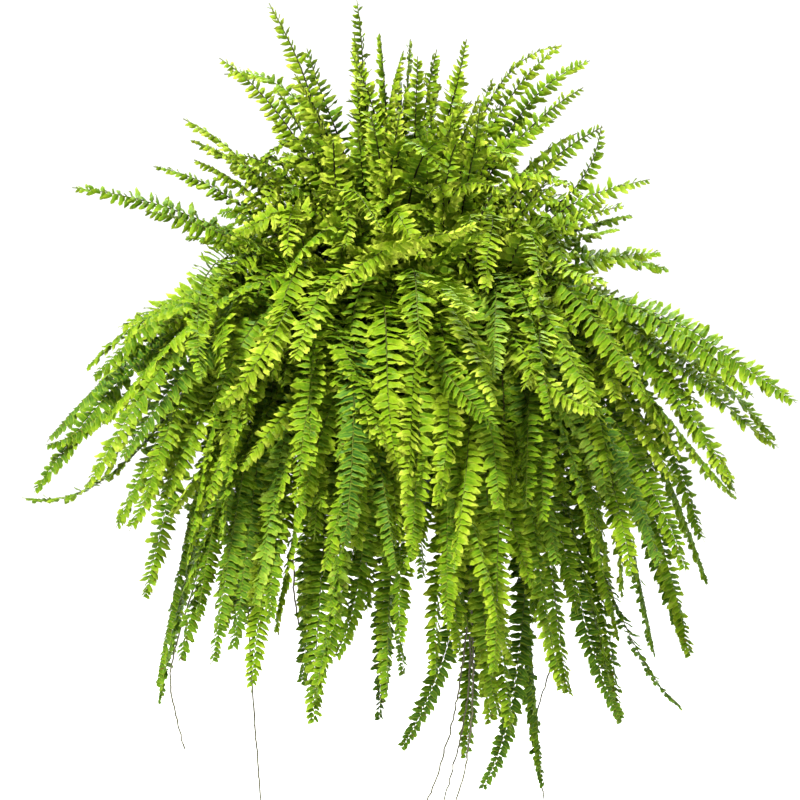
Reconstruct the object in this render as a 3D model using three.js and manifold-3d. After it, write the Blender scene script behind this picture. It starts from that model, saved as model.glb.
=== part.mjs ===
// A Boston-type fern in a hanging pot. Millimetres, +Z up.
// The origin is the inside top of the hook, where it bears on its support.
// The plant's best side faces -Y. Fronds grow in tufts, and each tuft stands in a hole in the soil.
import * as THREE from "three";
import { mergeVertices } from "three/addons/utils/BufferGeometryUtils.js";
import Module from "manifold-3d";

const wasm = await Module();
wasm.setup();

// Fit between pieces that touch or stand in one another
const CLEARANCE = 0.3;
const ROUND_SIDES = 22;
const HOLE_SIDES = 8;
// How far a cutting shape stands past what it cuts
const CUT_PAST = 1;

// Pot
const RIM_TOP = -236;
const RIM_RADIUS = 128;
const RIM_DEPTH = 10;
const MOUTH_RADIUS = 119;
const BASE_RADIUS = 88;
const POT_HEIGHT = 168;
const POT_WALL = 2.4;
const POT_FLOOR = 4;
const POT_BEVEL = 2;
const DRAIN_HOLES = 4;
const DRAIN_RADIUS = 6;
const DRAIN_CIRCLE = 56;

// Soil
const SOIL_TOP = -250;
const SOIL_EDGE_DROP = 4;
const SOIL_EDGE_WIDTH = 8;

// Hook, collar and strands
const ROD_SIDES = 6;
const HOOK_ROD = 2;
const HOOK_STEPS = 18;
const HOOK_INNER = 15;
const HOOK_ARC = { from: -30, to: 210, step: 30 };
const SHANK_SUNK = 4;
const SHANK_RISE = 12;
const SHANK_SWAY = 7;
const COLLAR_TOP = -44;
const COLLAR_HEIGHT = 14;
const COLLAR_RADIUS = 14;
const COLLAR_NECK = 4;
const COLLAR_SIDES = 12;
const STRANDS = 3;
const STRAND_ROD = 1.3;
const STRAND_TOP_CIRCLE = 8;
const STRAND_SOCKET = 5;
const STRAND_SOCKET_RADIUS = 4;
const LUG_CIRCLE = 134;
const LUG_RADIUS = 8;
const LUG_THICKNESS = 5;
const LUG_HOLE = 3.7;
const LUG_SIDES = 10;
const BUTTON_RADIUS = 5.5;
const BUTTON_HEIGHT = 3;
const BUTTON_SUNK = 1;

// Tufts: short upright stubs of the crown that the fronds spring from, in rings on the soil
const TUFT_RINGS = [
  { count: 8, radius: 27 },
  { count: 15, radius: 60 },
  { count: 21, radius: 93 },
];
const TUFT_SIDES = 5;
const TUFT_RADIUS = 7;
const TUFT_NECK = 5.5;
const TUFT_PROUD = 7;
const TUFT_SUNK = 14;
const FRONDS_PER_TUFT = 4;
const FROND_ROOT_CIRCLE = 3;
const FROND_ROOT_TURN = 2;
const FROND_ROOT_DEPTH = 5.2;

// Fronds: a three-sided rib whose sides run out into pairs of leaflets
const STALK_STEPS = 1;
const STALK_SHARE = 0.22;
const ELBOW_SHARE = 0.3;
const TWIST_RATE = 1.4;
const RIB_HALF_WIDTH = 1.6;
const RIB_HEIGHT = 2.2;
const RIB_TAPER = 0.65;
const LEAFLET_LENGTH = 25;
const BLADE_FOOT = 0.5;
const BLADE_RISE = 2.2;
const BLADE_TAPER = 3.5;
const NOTCH_SHARE = 0.28;
const LEAFLET_PITCH = 88;
const LEAFLET_SWEEP = 0.32;
const LEAFLET_DROOP = 0.2;
const FEWEST_PAIRS = 4;
const MOST_PAIRS = 8;
const LENGTH_SAMPLES = 24;

// Choosing each frond's place: tries that shift it until it is clear of all others
const TRIES = 120;
const TUFTS_TRIED = 3;
const GENTLE_TRIES = 40;
const FIRST_SHIFT = 0.35;
const RING_COST = 0.9;
const CROWD_COST = 0.12;
const STEEP = 50;
const LEVEL = -5;
const FROND_CLEARANCE = 0.6;
const SIBLING_HEIGHT = 110;
const SLIVER = 0.1;
const SHIFT = { turn: 16, reach: 45, rise: 55, elbow: 45, roll: 45 };
const SEED = 41;
const SEED_STRIDE = 977;

// Fronds that shape the outline and the front. Each row is the place of the tip, measured from
// the middle of the soil's surface (right, back, up), then the height of the elbow that it bends
// over and the blade's roll in degrees towards the front.
const SHAPING_FRONDS = [
  // upright and leaning, left of the middle
  [-125, -30, 330, 190, 80],
  [-40, -10, 320, 185, 60],
  [-20, -60, 300, 175, 45],
  [0, 40, 280, 160, -40],
  [-180, 20, 275, 210, 50],
  [-180, 70, 260, 290, 20],
  [-110, -60, 245, 140, 40],
  [-165, -50, 215, 170, 40],
  [-200, -20, 215, 180, 35],
  [-210, 50, 195, 165, 10],
  [-195, -90, 180, 140, 30],
  [-245, 20, 170, 140, 20],
  [-325, 10, 150, 125, 35],
  [-245, -70, 130, 105, 25],
  // upright and leaning, right of the middle
  [35, -40, 275, 160, 30],
  [160, 20, 290, 235, 30],
  [190, 60, 275, 220, 40],
  [170, -10, 240, 195, 50],
  [170, -70, 220, 175, 30],
  [150, -125, 185, 145, 20],
  [200, 10, 210, 170, 75],
  [180, 90, 200, 165, -20],
  [245, -10, 160, 135, 40],
  [215, -70, 135, 110, 30],
  [220, 60, 105, 90, 10],
  [255, -30, 90, 75, 35],
  [270, 30, 65, 120, 20],
  [205, -125, 65, 105, 20],
  // upright, round the middle
  [-75, -50, 225, 135, 35],
  [-45, -75, 190, 130, 10],
  [-15, -85, 235, 140, -15],
  [20, -70, 200, 130, 15],
  [50, -80, 225, 135, 10],
  [85, -60, 250, 145, 40],
  [110, -50, 205, 125, 45],
  [70, 10, 290, 165, 60],
  [-90, 20, 270, 155, 60],
  [10, -45, 262, 150, 0],
  [-12, -55, 248, 145, 0],
  [28, -58, 236, 140, 0],
  [-130, -70, 170, 110, 30],
  [130, -80, 140, 100, 25],
  // arching and hanging, left side
  [-270, -60, 15, 110, 35],
  [-305, -20, -35, 115, 40],
  [-310, 60, -55, 110, 10],
  [-360, 20, -110, 100, 20],
  [-380, -40, -160, 108, 45],
  [-305, -90, -135, 130, 30],
  [-305, 60, -150, 120, 0],
  [-285, 0, -190, 120, 35],
  [-260, -125, -180, 110, 20],
  [-250, 20, -380, 210, 40],
  [-255, -60, -255, 200, 45],
  [-215, -125, -310, 190, 35],
  [-160, -170, -280, 205, 20],
  [-155, 60, -335, 185, 0],
  [-80, -195, -345, 220, 10],
  [-105, 110, -380, 175, 0],
  [-20, 175, -445, 210, 0],
  // arching and hanging, right side
  [375, -40, -75, 95, 40],
  [390, 40, -120, 112, 20],
  [340, -100, -45, 120, 25],
  [325, -80, -135, 140, 35],
  [350, 70, -180, 120, 10],
  [305, -30, -200, 195, 40],
  [320, 60, -265, 180, 10],
  [290, -60, -315, 225, 45],
  [295, 30, -310, 190, 20],
  [300, 90, -405, 200, 10],
  [215, -125, -370, 230, 30],
  [160, -170, -325, 225, 15],
  [95, -220, -340, 220, 0],
  [65, -140, -400, 235, 10],
  [135, -110, -430, 220, 10],
  [75, -160, -415, 205, 0],
  [70, 170, -440, 200, 0],
  [110, 160, -430, 210, 0],
  // the front face
  [42, -200, -170, 150, 0],
  [78, -195, -110, 150, 5],
  [-52, -195, -120, 150, 5],
  [75, -220, 120, 105, 0],
  [-45, -170, 105, 90, 15],
  [60, -335, 55, 115, -10],
  [-175, -195, -45, 155, 25],
  [-95, -265, 10, 160, 10],
  [20, -310, 20, 155, 0],
  [45, -275, -130, 170, -8],
  [-5, -240, -160, 165, 5],
  [90, -270, -125, 175, 0],
  [145, -230, -185, 180, 10],
  [180, -220, -50, 160, 15],
  [225, -170, -45, 170, 25],
  [195, -170, -135, 170, 20],
  [-180, -170, -110, 160, 25],
  [-40, -245, -165, 165, 5],
  [110, -185, -295, 180, 0],
  [205, -125, -255, 190, 25],
  [-170, -160, -225, 180, 25],
  [-80, -230, -160, 165, 10],
  [-30, -190, -235, 160, 5],
  [-90, -260, -95, 145, 10],
  [-125, -140, -250, 160, 15],
];

// Fronds that fill the back and the inside, drawn from a seeded rule within these ranges
const FILLING_FRONDS = [
  { count: 7, reach: [60, 150], rise: [190, 280], elbow: [0.5, 0.65], from: 10, to: 170 },
  { count: 10, reach: [170, 260], rise: [60, 190], elbow: [0.7, 1.0], from: 5, to: 175 },
  { count: 12, reach: [270, 340], rise: [-130, 20], elbow: [120, 170], from: 10, to: 170 },
  { count: 12, reach: [200, 280], rise: [-370, -190], elbow: [160, 220], from: 5, to: 175 },
  { count: 8, reach: [195, 240], rise: [-300, -150], elbow: [160, 200], from: 205, to: 335 },
  { count: 8, reach: [150, 220], rise: [40, 120], elbow: [0.8, 1.0], from: 200, to: 340 },
  { count: 13, reach: [210, 290], rise: [-160, 30], elbow: [110, 150], from: 195, to: 345 },
];

// Runners: wiry shoots that root in the soil near the rim and hang far below the pot
const RUNNER_ROD = 0.9;
const RUNNER_HOLE = 3;
const RUNNER_ROOT_CIRCLE = 109;
const RUNNER_ROOT_DEPTH = 8;
const RUNNER_RISE = 10;
const RUNNER_RIM_CLEAR = 9;
const RUNNER_DROP = 30;
const RUNNER_DROP_CLEAR = 14.4;
const RUNNER_STEP = 27;
const RUNNER_SIDES = 3;
// The angle that each runner leaves at, the places (right, back, up) that it passes on its way down,
// and its branches, each of which starts on it
const RUNNERS = [
  {
    angle: 196,
    main: [[-205, -60, -494], [-228, -55, -582], [-222, -50, -629], [-215, -50, -657]],
    branches: [],
  },
  {
    angle: 222,
    main: [[-145, -105, -374], [-146, -110, -514], [-141, -112, -614], [-135, -112, -702]],
    branches: [[[-146, -110, -514], [-124, -118, -484], [-117, -118, -524]]],
  },
  {
    angle: 238,
    main: [[-98, -130, -374], [-98, -135, -504], [-86, -132, -534], [-90, -132, -567]],
    branches: [],
  },
  {
    angle: 291,
    main: [[62, -165, -354], [66, -170, -444], [54, -168, -574], [30, -165, -664], [11, -165, -702]],
    branches: [
      [[66, -170, -444], [64, -162, -574], [45, -160, -664], [34, -158, -698]],
      [[66, -170, -444], [68, -177, -584], [58, -178, -654], [42, -178, -698]],
    ],
  },
  {
    angle: 318,
    main: [[135, -120, -374], [150, -110, -534], [132, -112, -614], [142, -112, -702]],
    branches: [],
  },
];

const UP = new THREE.Vector3(0, 0, 1);
const RADIANS = Math.PI / 180;

// Numbers from 0 to 1 that are the same on every run
function seededRandom(seed) {
  let state = seed >>> 0;
  return () => {
    state = (state + 0x6d2b79f5) >>> 0;
    let mixed = Math.imul(state ^ (state >>> 15), 1 | state);
    mixed = (mixed + Math.imul(mixed ^ (mixed >>> 7), 61 | mixed)) ^ mixed;
    return ((mixed ^ (mixed >>> 14)) >>> 0) / 4294967296;
  };
}

function between([low, high], share) {
  return low + (high - low) * share;
}

function onCircle(radius, angle, z) {
  return new THREE.Vector3(radius * Math.cos(angle), radius * Math.sin(angle), z);
}

// A closed geometry as a solid that can be joined and cut
function toSolid(geometry) {
  const bare = geometry.clone();
  bare.deleteAttribute("normal");
  bare.deleteAttribute("uv");
  const merged = mergeVertices(bare, 1e-4);
  return new wasm.Manifold(
    new wasm.Mesh({
      numProp: 3,
      vertProperties: merged.attributes.position.array,
      triVerts: new Uint32Array(merged.index.array),
    }),
  );
}

function toGeometry(solid) {
  const mesh = solid.getMesh();
  const geometry = new THREE.BufferGeometry();
  geometry.setAttribute("position", new THREE.BufferAttribute(mesh.vertProperties, 3));
  geometry.setIndex(new THREE.BufferAttribute(mesh.triVerts, 1));
  return geometry;
}

// An upright solid of revolution about Z from [radius, z] points
function turned(profile, segments = ROUND_SIDES) {
  const points = profile.map(([radius, z]) => new THREE.Vector2(radius, z));
  return new THREE.LatheGeometry(points, segments).rotateX(Math.PI / 2);
}

// An upright prism about Z with its foot at z
function upright(bottomRadius, topRadius, height, sides, place) {
  return new THREE.CylinderGeometry(topRadius, bottomRadius, height, sides)
    .rotateX(Math.PI / 2)
    .translate(place.x, place.y, place.z + height / 2);
}

// A wire of even thickness along a smooth curve through points
function wire(points, radius, sides, steps) {
  const section = new THREE.Shape();
  for (let i = 0; i < sides; i++) {
    const angle = (2 * Math.PI * i) / sides;
    const corner = [radius * Math.cos(angle), radius * Math.sin(angle)];
    if (i === 0) section.moveTo(...corner);
    else section.lineTo(...corner);
  }
  section.closePath();
  const curve = new THREE.CatmullRomCurve3(points, false, "centripetal");
  return new THREE.ExtrudeGeometry(section, {
    steps,
    curveSegments: 1,
    bevelEnabled: false,
    extrudePath: curve,
  });
}

// Materials, one a kind of piece

function potMaterial() {
  return new THREE.MeshStandardMaterial({ color: 0x1f3a24, roughness: 0.5, metalness: 0 });
}

function soilMaterial() {
  return new THREE.MeshStandardMaterial({ color: 0x2f2117, roughness: 0.95, metalness: 0 });
}

function hangerMaterial() {
  return new THREE.MeshStandardMaterial({ color: 0x24402a, roughness: 0.45, metalness: 0 });
}

function frondMaterial() {
  return new THREE.MeshStandardMaterial({ color: 0x7fb52a, roughness: 0.55, metalness: 0 });
}

function runnerMaterial() {
  return new THREE.MeshStandardMaterial({ color: 0x8a7a45, roughness: 0.8, metalness: 0 });
}

// Pot

function strandAngle(index) {
  return RADIANS * (90 + (360 * index) / STRANDS);
}

function innerRadiusAt(z) {
  const bottom = RIM_TOP - POT_HEIGHT;
  return BASE_RADIUS - POT_WALL + ((MOUTH_RADIUS - BASE_RADIUS + POT_WALL) * (z - bottom)) / POT_HEIGHT;
}

function potSolid() {
  const bottom = RIM_TOP - POT_HEIGHT;
  const floor = bottom + POT_FLOOR;
  let pot = toSolid(
    turned([
      [0, bottom],
      [BASE_RADIUS - POT_BEVEL, bottom],
      [BASE_RADIUS, bottom + POT_BEVEL],
      [MOUTH_RADIUS + POT_WALL, RIM_TOP - RIM_DEPTH],
      [RIM_RADIUS, RIM_TOP - RIM_DEPTH],
      [RIM_RADIUS, RIM_TOP - POT_BEVEL],
      [RIM_RADIUS - POT_BEVEL, RIM_TOP],
      [MOUTH_RADIUS, RIM_TOP],
      [innerRadiusAt(floor), floor],
      [0, floor],
    ]),
  );
  for (let i = 0; i < DRAIN_HOLES; i++) {
    const angle = RADIANS * (45 + (360 * i) / DRAIN_HOLES);
    const place = onCircle(DRAIN_CIRCLE, angle, bottom - CUT_PAST);
    const drain = upright(DRAIN_RADIUS, DRAIN_RADIUS, POT_FLOOR + 2 * CUT_PAST, HOLE_SIDES, place);
    pot = pot.subtract(toSolid(drain));
  }
  for (let i = 0; i < STRANDS; i++) {
    const place = onCircle(LUG_CIRCLE, strandAngle(i), RIM_TOP - RIM_DEPTH);
    const ear = upright(LUG_RADIUS, LUG_RADIUS, LUG_THICKNESS, LUG_SIDES, place);
    const foot = place.clone().addScaledVector(UP, -CUT_PAST);
    const hole = upright(LUG_HOLE, LUG_HOLE, LUG_THICKNESS + 2 * CUT_PAST, HOLE_SIDES, foot);
    pot = pot.add(toSolid(ear)).subtract(toSolid(hole));
  }
  return pot;
}

// Soil, with a plain hole for each tuft and runner

function soilSolid(holes) {
  const floor = RIM_TOP - POT_HEIGHT + POT_FLOOR + CLEARANCE;
  const edge = SOIL_TOP - SOIL_EDGE_DROP;
  let soil = toSolid(
    turned([
      [0, floor],
      [innerRadiusAt(floor) - CLEARANCE, floor],
      [innerRadiusAt(edge) - CLEARANCE, edge],
      [innerRadiusAt(edge) - CLEARANCE - SOIL_EDGE_WIDTH, SOIL_TOP],
      [0, SOIL_TOP],
    ]),
  );
  for (const hole of holes) soil = soil.subtract(toSolid(hole));
  return soil;
}

// Hook with its collar, and the strands that run from the collar to the pot's lugs

function hookSolid() {
  const centre = -HOOK_INNER;
  const bend = HOOK_INNER + HOOK_ROD;
  const points = [
    new THREE.Vector3(0, 0, COLLAR_TOP - SHANK_SUNK),
    new THREE.Vector3(0, 0, COLLAR_TOP + SHANK_SUNK),
    new THREE.Vector3(0, SHANK_SWAY, COLLAR_TOP + SHANK_RISE),
  ];
  for (let degrees = HOOK_ARC.from; degrees <= HOOK_ARC.to; degrees += HOOK_ARC.step) {
    const angle = degrees * RADIANS;
    points.push(new THREE.Vector3(0, bend * Math.cos(angle), centre + bend * Math.sin(angle)));
  }
  const bottom = COLLAR_TOP - COLLAR_HEIGHT;
  let hook = toSolid(wire(points, HOOK_ROD, ROD_SIDES, HOOK_STEPS)).add(
    toSolid(
      turned(
        [
          [0, bottom],
          [COLLAR_RADIUS, bottom],
          [COLLAR_RADIUS, COLLAR_TOP - COLLAR_NECK],
          [COLLAR_NECK, COLLAR_TOP],
          [0, COLLAR_TOP],
        ],
        COLLAR_SIDES,
      ),
    ),
  );
  for (let i = 0; i < STRANDS; i++) {
    const place = onCircle(STRAND_TOP_CIRCLE, strandAngle(i), bottom - CUT_PAST);
    const depth = STRAND_SOCKET + CUT_PAST;
    const socket = upright(STRAND_SOCKET_RADIUS, STRAND_SOCKET_RADIUS, depth, ROD_SIDES, place);
    hook = hook.subtract(toSolid(socket));
  }
  return hook;
}

// A straight rod from below its lug up into its socket, with a button that bears on the lug
function strandSolid(index) {
  const lug = onCircle(LUG_CIRCLE, strandAngle(index), RIM_TOP - RIM_DEPTH + LUG_THICKNESS / 2);
  const collarBottom = COLLAR_TOP - COLLAR_HEIGHT;
  const socket = onCircle(STRAND_TOP_CIRCLE, strandAngle(index), collarBottom + STRAND_SOCKET / 2);
  const along = socket.clone().sub(lug).normalize();
  const heightUp = (z) => lug.clone().addScaledVector(along, (z - lug.z) / along.z);
  const under = RIM_TOP - RIM_DEPTH - CLEARANCE - BUTTON_HEIGHT;
  const bottom = heightUp(under + BUTTON_SUNK);
  const top = heightUp(collarBottom + STRAND_SOCKET - CLEARANCE - STRAND_ROD);
  const length = top.distanceTo(bottom);
  const rod = new THREE.CylinderGeometry(STRAND_ROD, STRAND_ROD, length, ROD_SIDES)
    .applyQuaternion(new THREE.Quaternion().setFromUnitVectors(new THREE.Vector3(0, 1, 0), along))
    .translate(...bottom.clone().add(top).multiplyScalar(0.5).toArray());
  const foot = heightUp(under + BUTTON_SUNK).setZ(under);
  const button = upright(BUTTON_RADIUS, BUTTON_RADIUS, BUTTON_HEIGHT, HOLE_SIDES, foot);
  return toSolid(rod).add(toSolid(button));
}

// Tufts

function tuftPlaces() {
  const places = [];
  TUFT_RINGS.forEach(({ count, radius }, ring) => {
    for (let i = 0; i < count; i++) {
      const angle = (2 * Math.PI * (i + 0.5 * (ring % 2))) / count;
      const place = onCircle(radius, angle, SOIL_TOP);
      places.push({ ring, angle, place, fronds: [] });
    }
  });
  return places;
}

function tuftStub(tuft, grown = 0) {
  const foot = tuft.place.clone().addScaledVector(UP, -TUFT_SUNK);
  const height = TUFT_SUNK + TUFT_PROUD + grown;
  return upright(TUFT_RADIUS + grown, TUFT_NECK + grown, height, TUFT_SIDES, foot);
}

function tuftHole(tuft) {
  const foot = tuft.place.clone().addScaledVector(UP, -TUFT_SUNK - CLEARANCE);
  const radius = TUFT_RADIUS + CLEARANCE / Math.cos(Math.PI / TUFT_SIDES);
  return upright(radius, radius, TUFT_SUNK + CLEARANCE + CUT_PAST, TUFT_SIDES, foot);
}

// Fronds

// A frond's shape from its wishes: where it starts, how far and how high it reaches, and its crest
function frondShape(tuft, wish) {
  const angle = Math.atan2(wish.y, wish.x) + wish.turn * RADIANS;
  const length = Math.hypot(wish.x, wish.y) + wish.reach;
  const root = onCircle(FROND_ROOT_CIRCLE, angle + FROND_ROOT_TURN * tuft.fronds.length, SOIL_TOP);
  root.add(tuft.place).setZ(SOIL_TOP + TUFT_PROUD - FROND_ROOT_DEPTH);
  const tip = onCircle(length, angle, SOIL_TOP + wish.z + wish.rise);
  const out = new THREE.Vector3(tip.x - root.x, tip.y - root.y, 0);
  const elbow = root.clone().addScaledVector(out, ELBOW_SHARE);
  elbow.z = SOIL_TOP + wish.elbow;
  return { root, elbow, tip, out: out.normalize(), roll: wish.roll * RADIANS };
}

// Points and directions along a frond at equal shares of its length
function frondLine(shape) {
  const curve = new THREE.QuadraticBezierCurve3(shape.root, shape.elbow, shape.tip);
  curve.arcLengthDivisions = LENGTH_SAMPLES;
  const across = new THREE.Vector3(-shape.out.y, shape.out.x, 0);
  const length = curve.getLength();
  const stand = (share) => {
    const point = curve.getPointAt(share);
    const along = curve.getTangentAt(share);
    const face = along.clone().cross(across).normalize();
    face.applyAxisAngle(along, shape.roll * Math.min(1, TWIST_RATE * share));
    const side = along.clone().cross(face);
    return { point, along, face, side };
  };
  return { length, stand };
}

// Leaflet length along the blade: short at its foot, full in the middle, tapering to the tip
function bladeWidth(share) {
  return Math.min(1, BLADE_FOOT + BLADE_RISE * share) * (1 - share ** BLADE_TAPER);
}

// The closed solid of one frond, grown by a margin where its clearance is tested, with its boxes
function frondSolid(shape, margin = 0) {
  const { length, stand } = frondLine(shape);
  const blade = length * (1 - STALK_SHARE);
  const pairs = THREE.MathUtils.clamp(Math.round(blade / LEAFLET_PITCH), FEWEST_PAIRS, MOST_PAIRS);
  const steps = STALK_STEPS + 2 * pairs;
  const pitch = blade / pairs;
  const rows = [];
  const boxes = [];
  for (let level = 0; level <= steps; level++) {
    const onBlade = Math.max(0, level - STALK_STEPS) / (2 * pairs);
    const onStalk = Math.min(level, STALK_STEPS) / STALK_STEPS;
    const { point, along, face, side } = stand(STALK_SHARE * onStalk + (1 - STALK_SHARE) * onBlade);
    const thin = 1 - RIB_TAPER * onBlade;
    const rib = RIB_HALF_WIDTH * thin;
    const full = LEAFLET_LENGTH * bladeWidth(onBlade);
    const hasLeaflet = level > STALK_STEPS && level < steps;
    const corner = (direction, isLeaflet) => {
      const reach = (isLeaflet ? full : Math.max(rib, hasLeaflet ? NOTCH_SHARE * full : 0)) + margin;
      const under = isLeaflet ? LEAFLET_DROOP * reach : 0.5 * RIB_HEIGHT * thin + LEAFLET_DROOP * margin;
      return point
        .clone()
        .addScaledVector(along, isLeaflet ? LEAFLET_SWEEP * pitch : 0)
        .addScaledVector(face, -under)
        .addScaledVector(side, direction * reach);
    };
    const row = {
      top: point.clone().addScaledVector(face, 0.5 * RIB_HEIGHT * thin + margin),
      right: corner(1, hasLeaflet && level % 2 === 0),
      left: corner(-1, hasLeaflet && level % 2 === 1),
      middle: point,
    };
    if (level > 0) {
      const below = rows.at(-1);
      const corners = [below.top, below.left, below.right, row.top, row.left, row.right];
      boxes.push(new THREE.Box3().setFromPoints(corners));
    }
    rows.push(row);
  }
  const geometry = new THREE.CylinderGeometry(1, 1, 1, 3, steps);
  const places = geometry.attributes.position;
  for (let i = 0; i < places.count; i++) {
    const row = rows[Math.round((places.getY(i) + 0.5) * steps)];
    const x = places.getX(i);
    const z = places.getZ(i);
    const corner = z > 0.5 ? row.top : x > 0.5 ? row.right : x < -0.5 ? row.left : row.middle;
    places.setXYZ(i, corner.x, corner.y, corner.z);
  }
  return { geometry, boxes };
}

function boxesMeet(some, others) {
  return some.some((box) => others.some((other) => box.intersectsBox(other)));
}

// Whether a frond meets no obstacle, and its own tuft's fronds only where they spring from it
function isClear(candidate, obstacles, tuft) {
  const near = obstacles.filter((other) => boxesMeet(candidate.boxes, other.boxes));
  const siblings = tuft.fronds.filter((other) => boxesMeet(candidate.boxes, other.boxes));
  if (!near.length && !siblings.length) return true;
  const solid = toSolid(candidate.geometry);
  const meetsLow = (other) => {
    const shared = solid.intersect(other.solid);
    return shared.isEmpty() || shared.boundingBox().max[2] < SOIL_TOP + SIBLING_HEIGHT;
  };
  return near.every((other) => solid.intersect(other.solid).isEmpty()) && siblings.every(meetsLow);
}

// The wish shifted by a seeded amount that grows with each try, so the first try is the wish itself
function shiftedWish(wish, frondIndex, attempt) {
  const random = seededRandom(SEED + frondIndex * SEED_STRIDE + attempt);
  const eager = between([FIRST_SHIFT, 1], Math.min(1, attempt / TRIES));
  const share = Math.min(1, attempt / GENTLE_TRIES) * eager;
  const draw = (range) => (2 * random() - 1) * range * share;
  return {
    x: wish.x,
    y: wish.y,
    z: wish.z,
    turn: draw(SHIFT.turn),
    reach: draw(SHIFT.reach),
    rise: draw(SHIFT.rise),
    elbow: wish.elbow + draw(SHIFT.elbow),
    roll: wish.roll + draw(SHIFT.roll),
  };
}

function allWishes() {
  const wishes = SHAPING_FRONDS.map(([x, y, z, elbow, roll]) => ({
    x,
    y,
    z,
    elbow,
    roll: roll * Math.sign(x || 1),
  }));
  const random = seededRandom(SEED);
  for (const { count, reach, rise, elbow, from, to } of FILLING_FRONDS) {
    for (let i = 0; i < count; i++) {
      const angle = between([from, to], (i + random()) / count) * RADIANS;
      const distance = between(reach, random());
      const z = between(rise, random());
      const bend = between(elbow, random());
      wishes.push({
        x: distance * Math.cos(angle),
        y: distance * Math.sin(angle),
        z,
        elbow: bend > 1 ? bend : bend * z,
        roll: 30 * (2 * random() - 1),
      });
    }
  }
  return wishes;
}

// Steep fronds spring from the inner ring, hanging ones from the outer ring
function ringFor(wish) {
  const steepness = Math.atan2(wish.z, Math.hypot(wish.x, wish.y)) / RADIANS;
  if (steepness > STEEP) return 0;
  return steepness > LEVEL ? 1 : 2;
}

// The tufts with room for one more frond that lie best in the frond's direction, the best first
function tuftsFor(wish, tufts) {
  const ring = ringFor(wish);
  const angle = Math.atan2(wish.y, wish.x);
  const cost = (tuft) => {
    const apart = Math.abs(Math.atan2(Math.sin(tuft.angle - angle), Math.cos(tuft.angle - angle)));
    return apart + RING_COST * Math.abs(tuft.ring - ring) + CROWD_COST * tuft.fronds.length;
  };
  const free = tufts.filter((tuft) => tuft.fronds.length < FRONDS_PER_TUFT);
  return free.sort((some, other) => cost(some) - cost(other)).slice(0, TUFTS_TRIED);
}

// The first place for a frond that is clear of everything else, over its tufts and their tries
function grownFrond(wish, index, tufts, obstacles) {
  for (const tuft of tuftsFor(wish, tufts)) {
    const others = obstacles.filter((other) => other.tuft !== tuft);
    for (let attempt = 0; attempt < TRIES; attempt++) {
      const shape = frondShape(tuft, shiftedWish(wish, index, attempt));
      if (!isClear(frondSolid(shape, FROND_CLEARANCE), others, tuft)) continue;
      const { geometry, boxes } = frondSolid(shape);
      return { tuft, boxes, solid: toSolid(geometry) };
    }
  }
  return null;
}

function growFronds(tufts, fixed) {
  const obstacles = fixed.concat(tufts.map((tuft) => tuft.obstacle));
  allWishes().forEach((wish, index) => {
    const frond = grownFrond(wish, index, tufts, obstacles);
    if (!frond) return;
    frond.tuft.fronds.push(frond);
    obstacles.push(frond);
  });
}

// A tuft's fronds joined on its stub, with any pocket that they close between them filled
function tuftSolid(tuft) {
  const joined = tuft.fronds.reduce((whole, frond) => whole.add(frond.solid), toSolid(tuftStub(tuft)));
  const whole = joined.decompose().reduce((most, body) => (body.volume() > most.volume() ? body : most));
  return whole.simplify(SLIVER);
}

// Runners

function runnerRoot(angle) {
  return onCircle(RUNNER_ROOT_CIRCLE, angle * RADIANS, SOIL_TOP);
}

function runnerHole({ angle }) {
  const foot = runnerRoot(angle).addScaledVector(UP, -RUNNER_ROOT_DEPTH - CLEARANCE);
  return upright(RUNNER_HOLE, RUNNER_HOLE, RUNNER_ROOT_DEPTH + CLEARANCE + CUT_PAST, TUFT_SIDES, foot);
}

function runnerWire(points) {
  const length = new THREE.CatmullRomCurve3(points, false, "centripetal").getLength();
  return toSolid(wire(points, RUNNER_ROD, RUNNER_SIDES, Math.round(length / RUNNER_STEP)));
}

function runnerSolid({ angle, main, branches }) {
  const root = runnerRoot(angle);
  const start = [
    root.clone().addScaledVector(UP, -RUNNER_ROOT_DEPTH),
    root.clone().addScaledVector(UP, RUNNER_RISE),
    onCircle(RIM_RADIUS - 4, angle * RADIANS, RIM_TOP + RUNNER_RIM_CLEAR),
    onCircle(RIM_RADIUS + RUNNER_RIM_CLEAR, angle * RADIANS, RIM_TOP + 2),
    onCircle(RIM_RADIUS + RUNNER_DROP_CLEAR, angle * RADIANS, RIM_TOP - RUNNER_DROP),
  ];
  const strand = runnerWire(start.concat(main.map((place) => new THREE.Vector3(...place))));
  return branches
    .map((places) => runnerWire(places.map((place) => new THREE.Vector3(...place))))
    .reduce((whole, branch) => whole.add(branch), strand);
}

function asObstacle(solid) {
  const { min, max } = solid.boundingBox();
  return { solid, boxes: [new THREE.Box3(new THREE.Vector3(...min), new THREE.Vector3(...max))] };
}

function addMesh(parent, name, solid, material) {
  const mesh = new THREE.Mesh(toGeometry(solid), material);
  mesh.name = name;
  parent.add(mesh);
}

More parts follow.
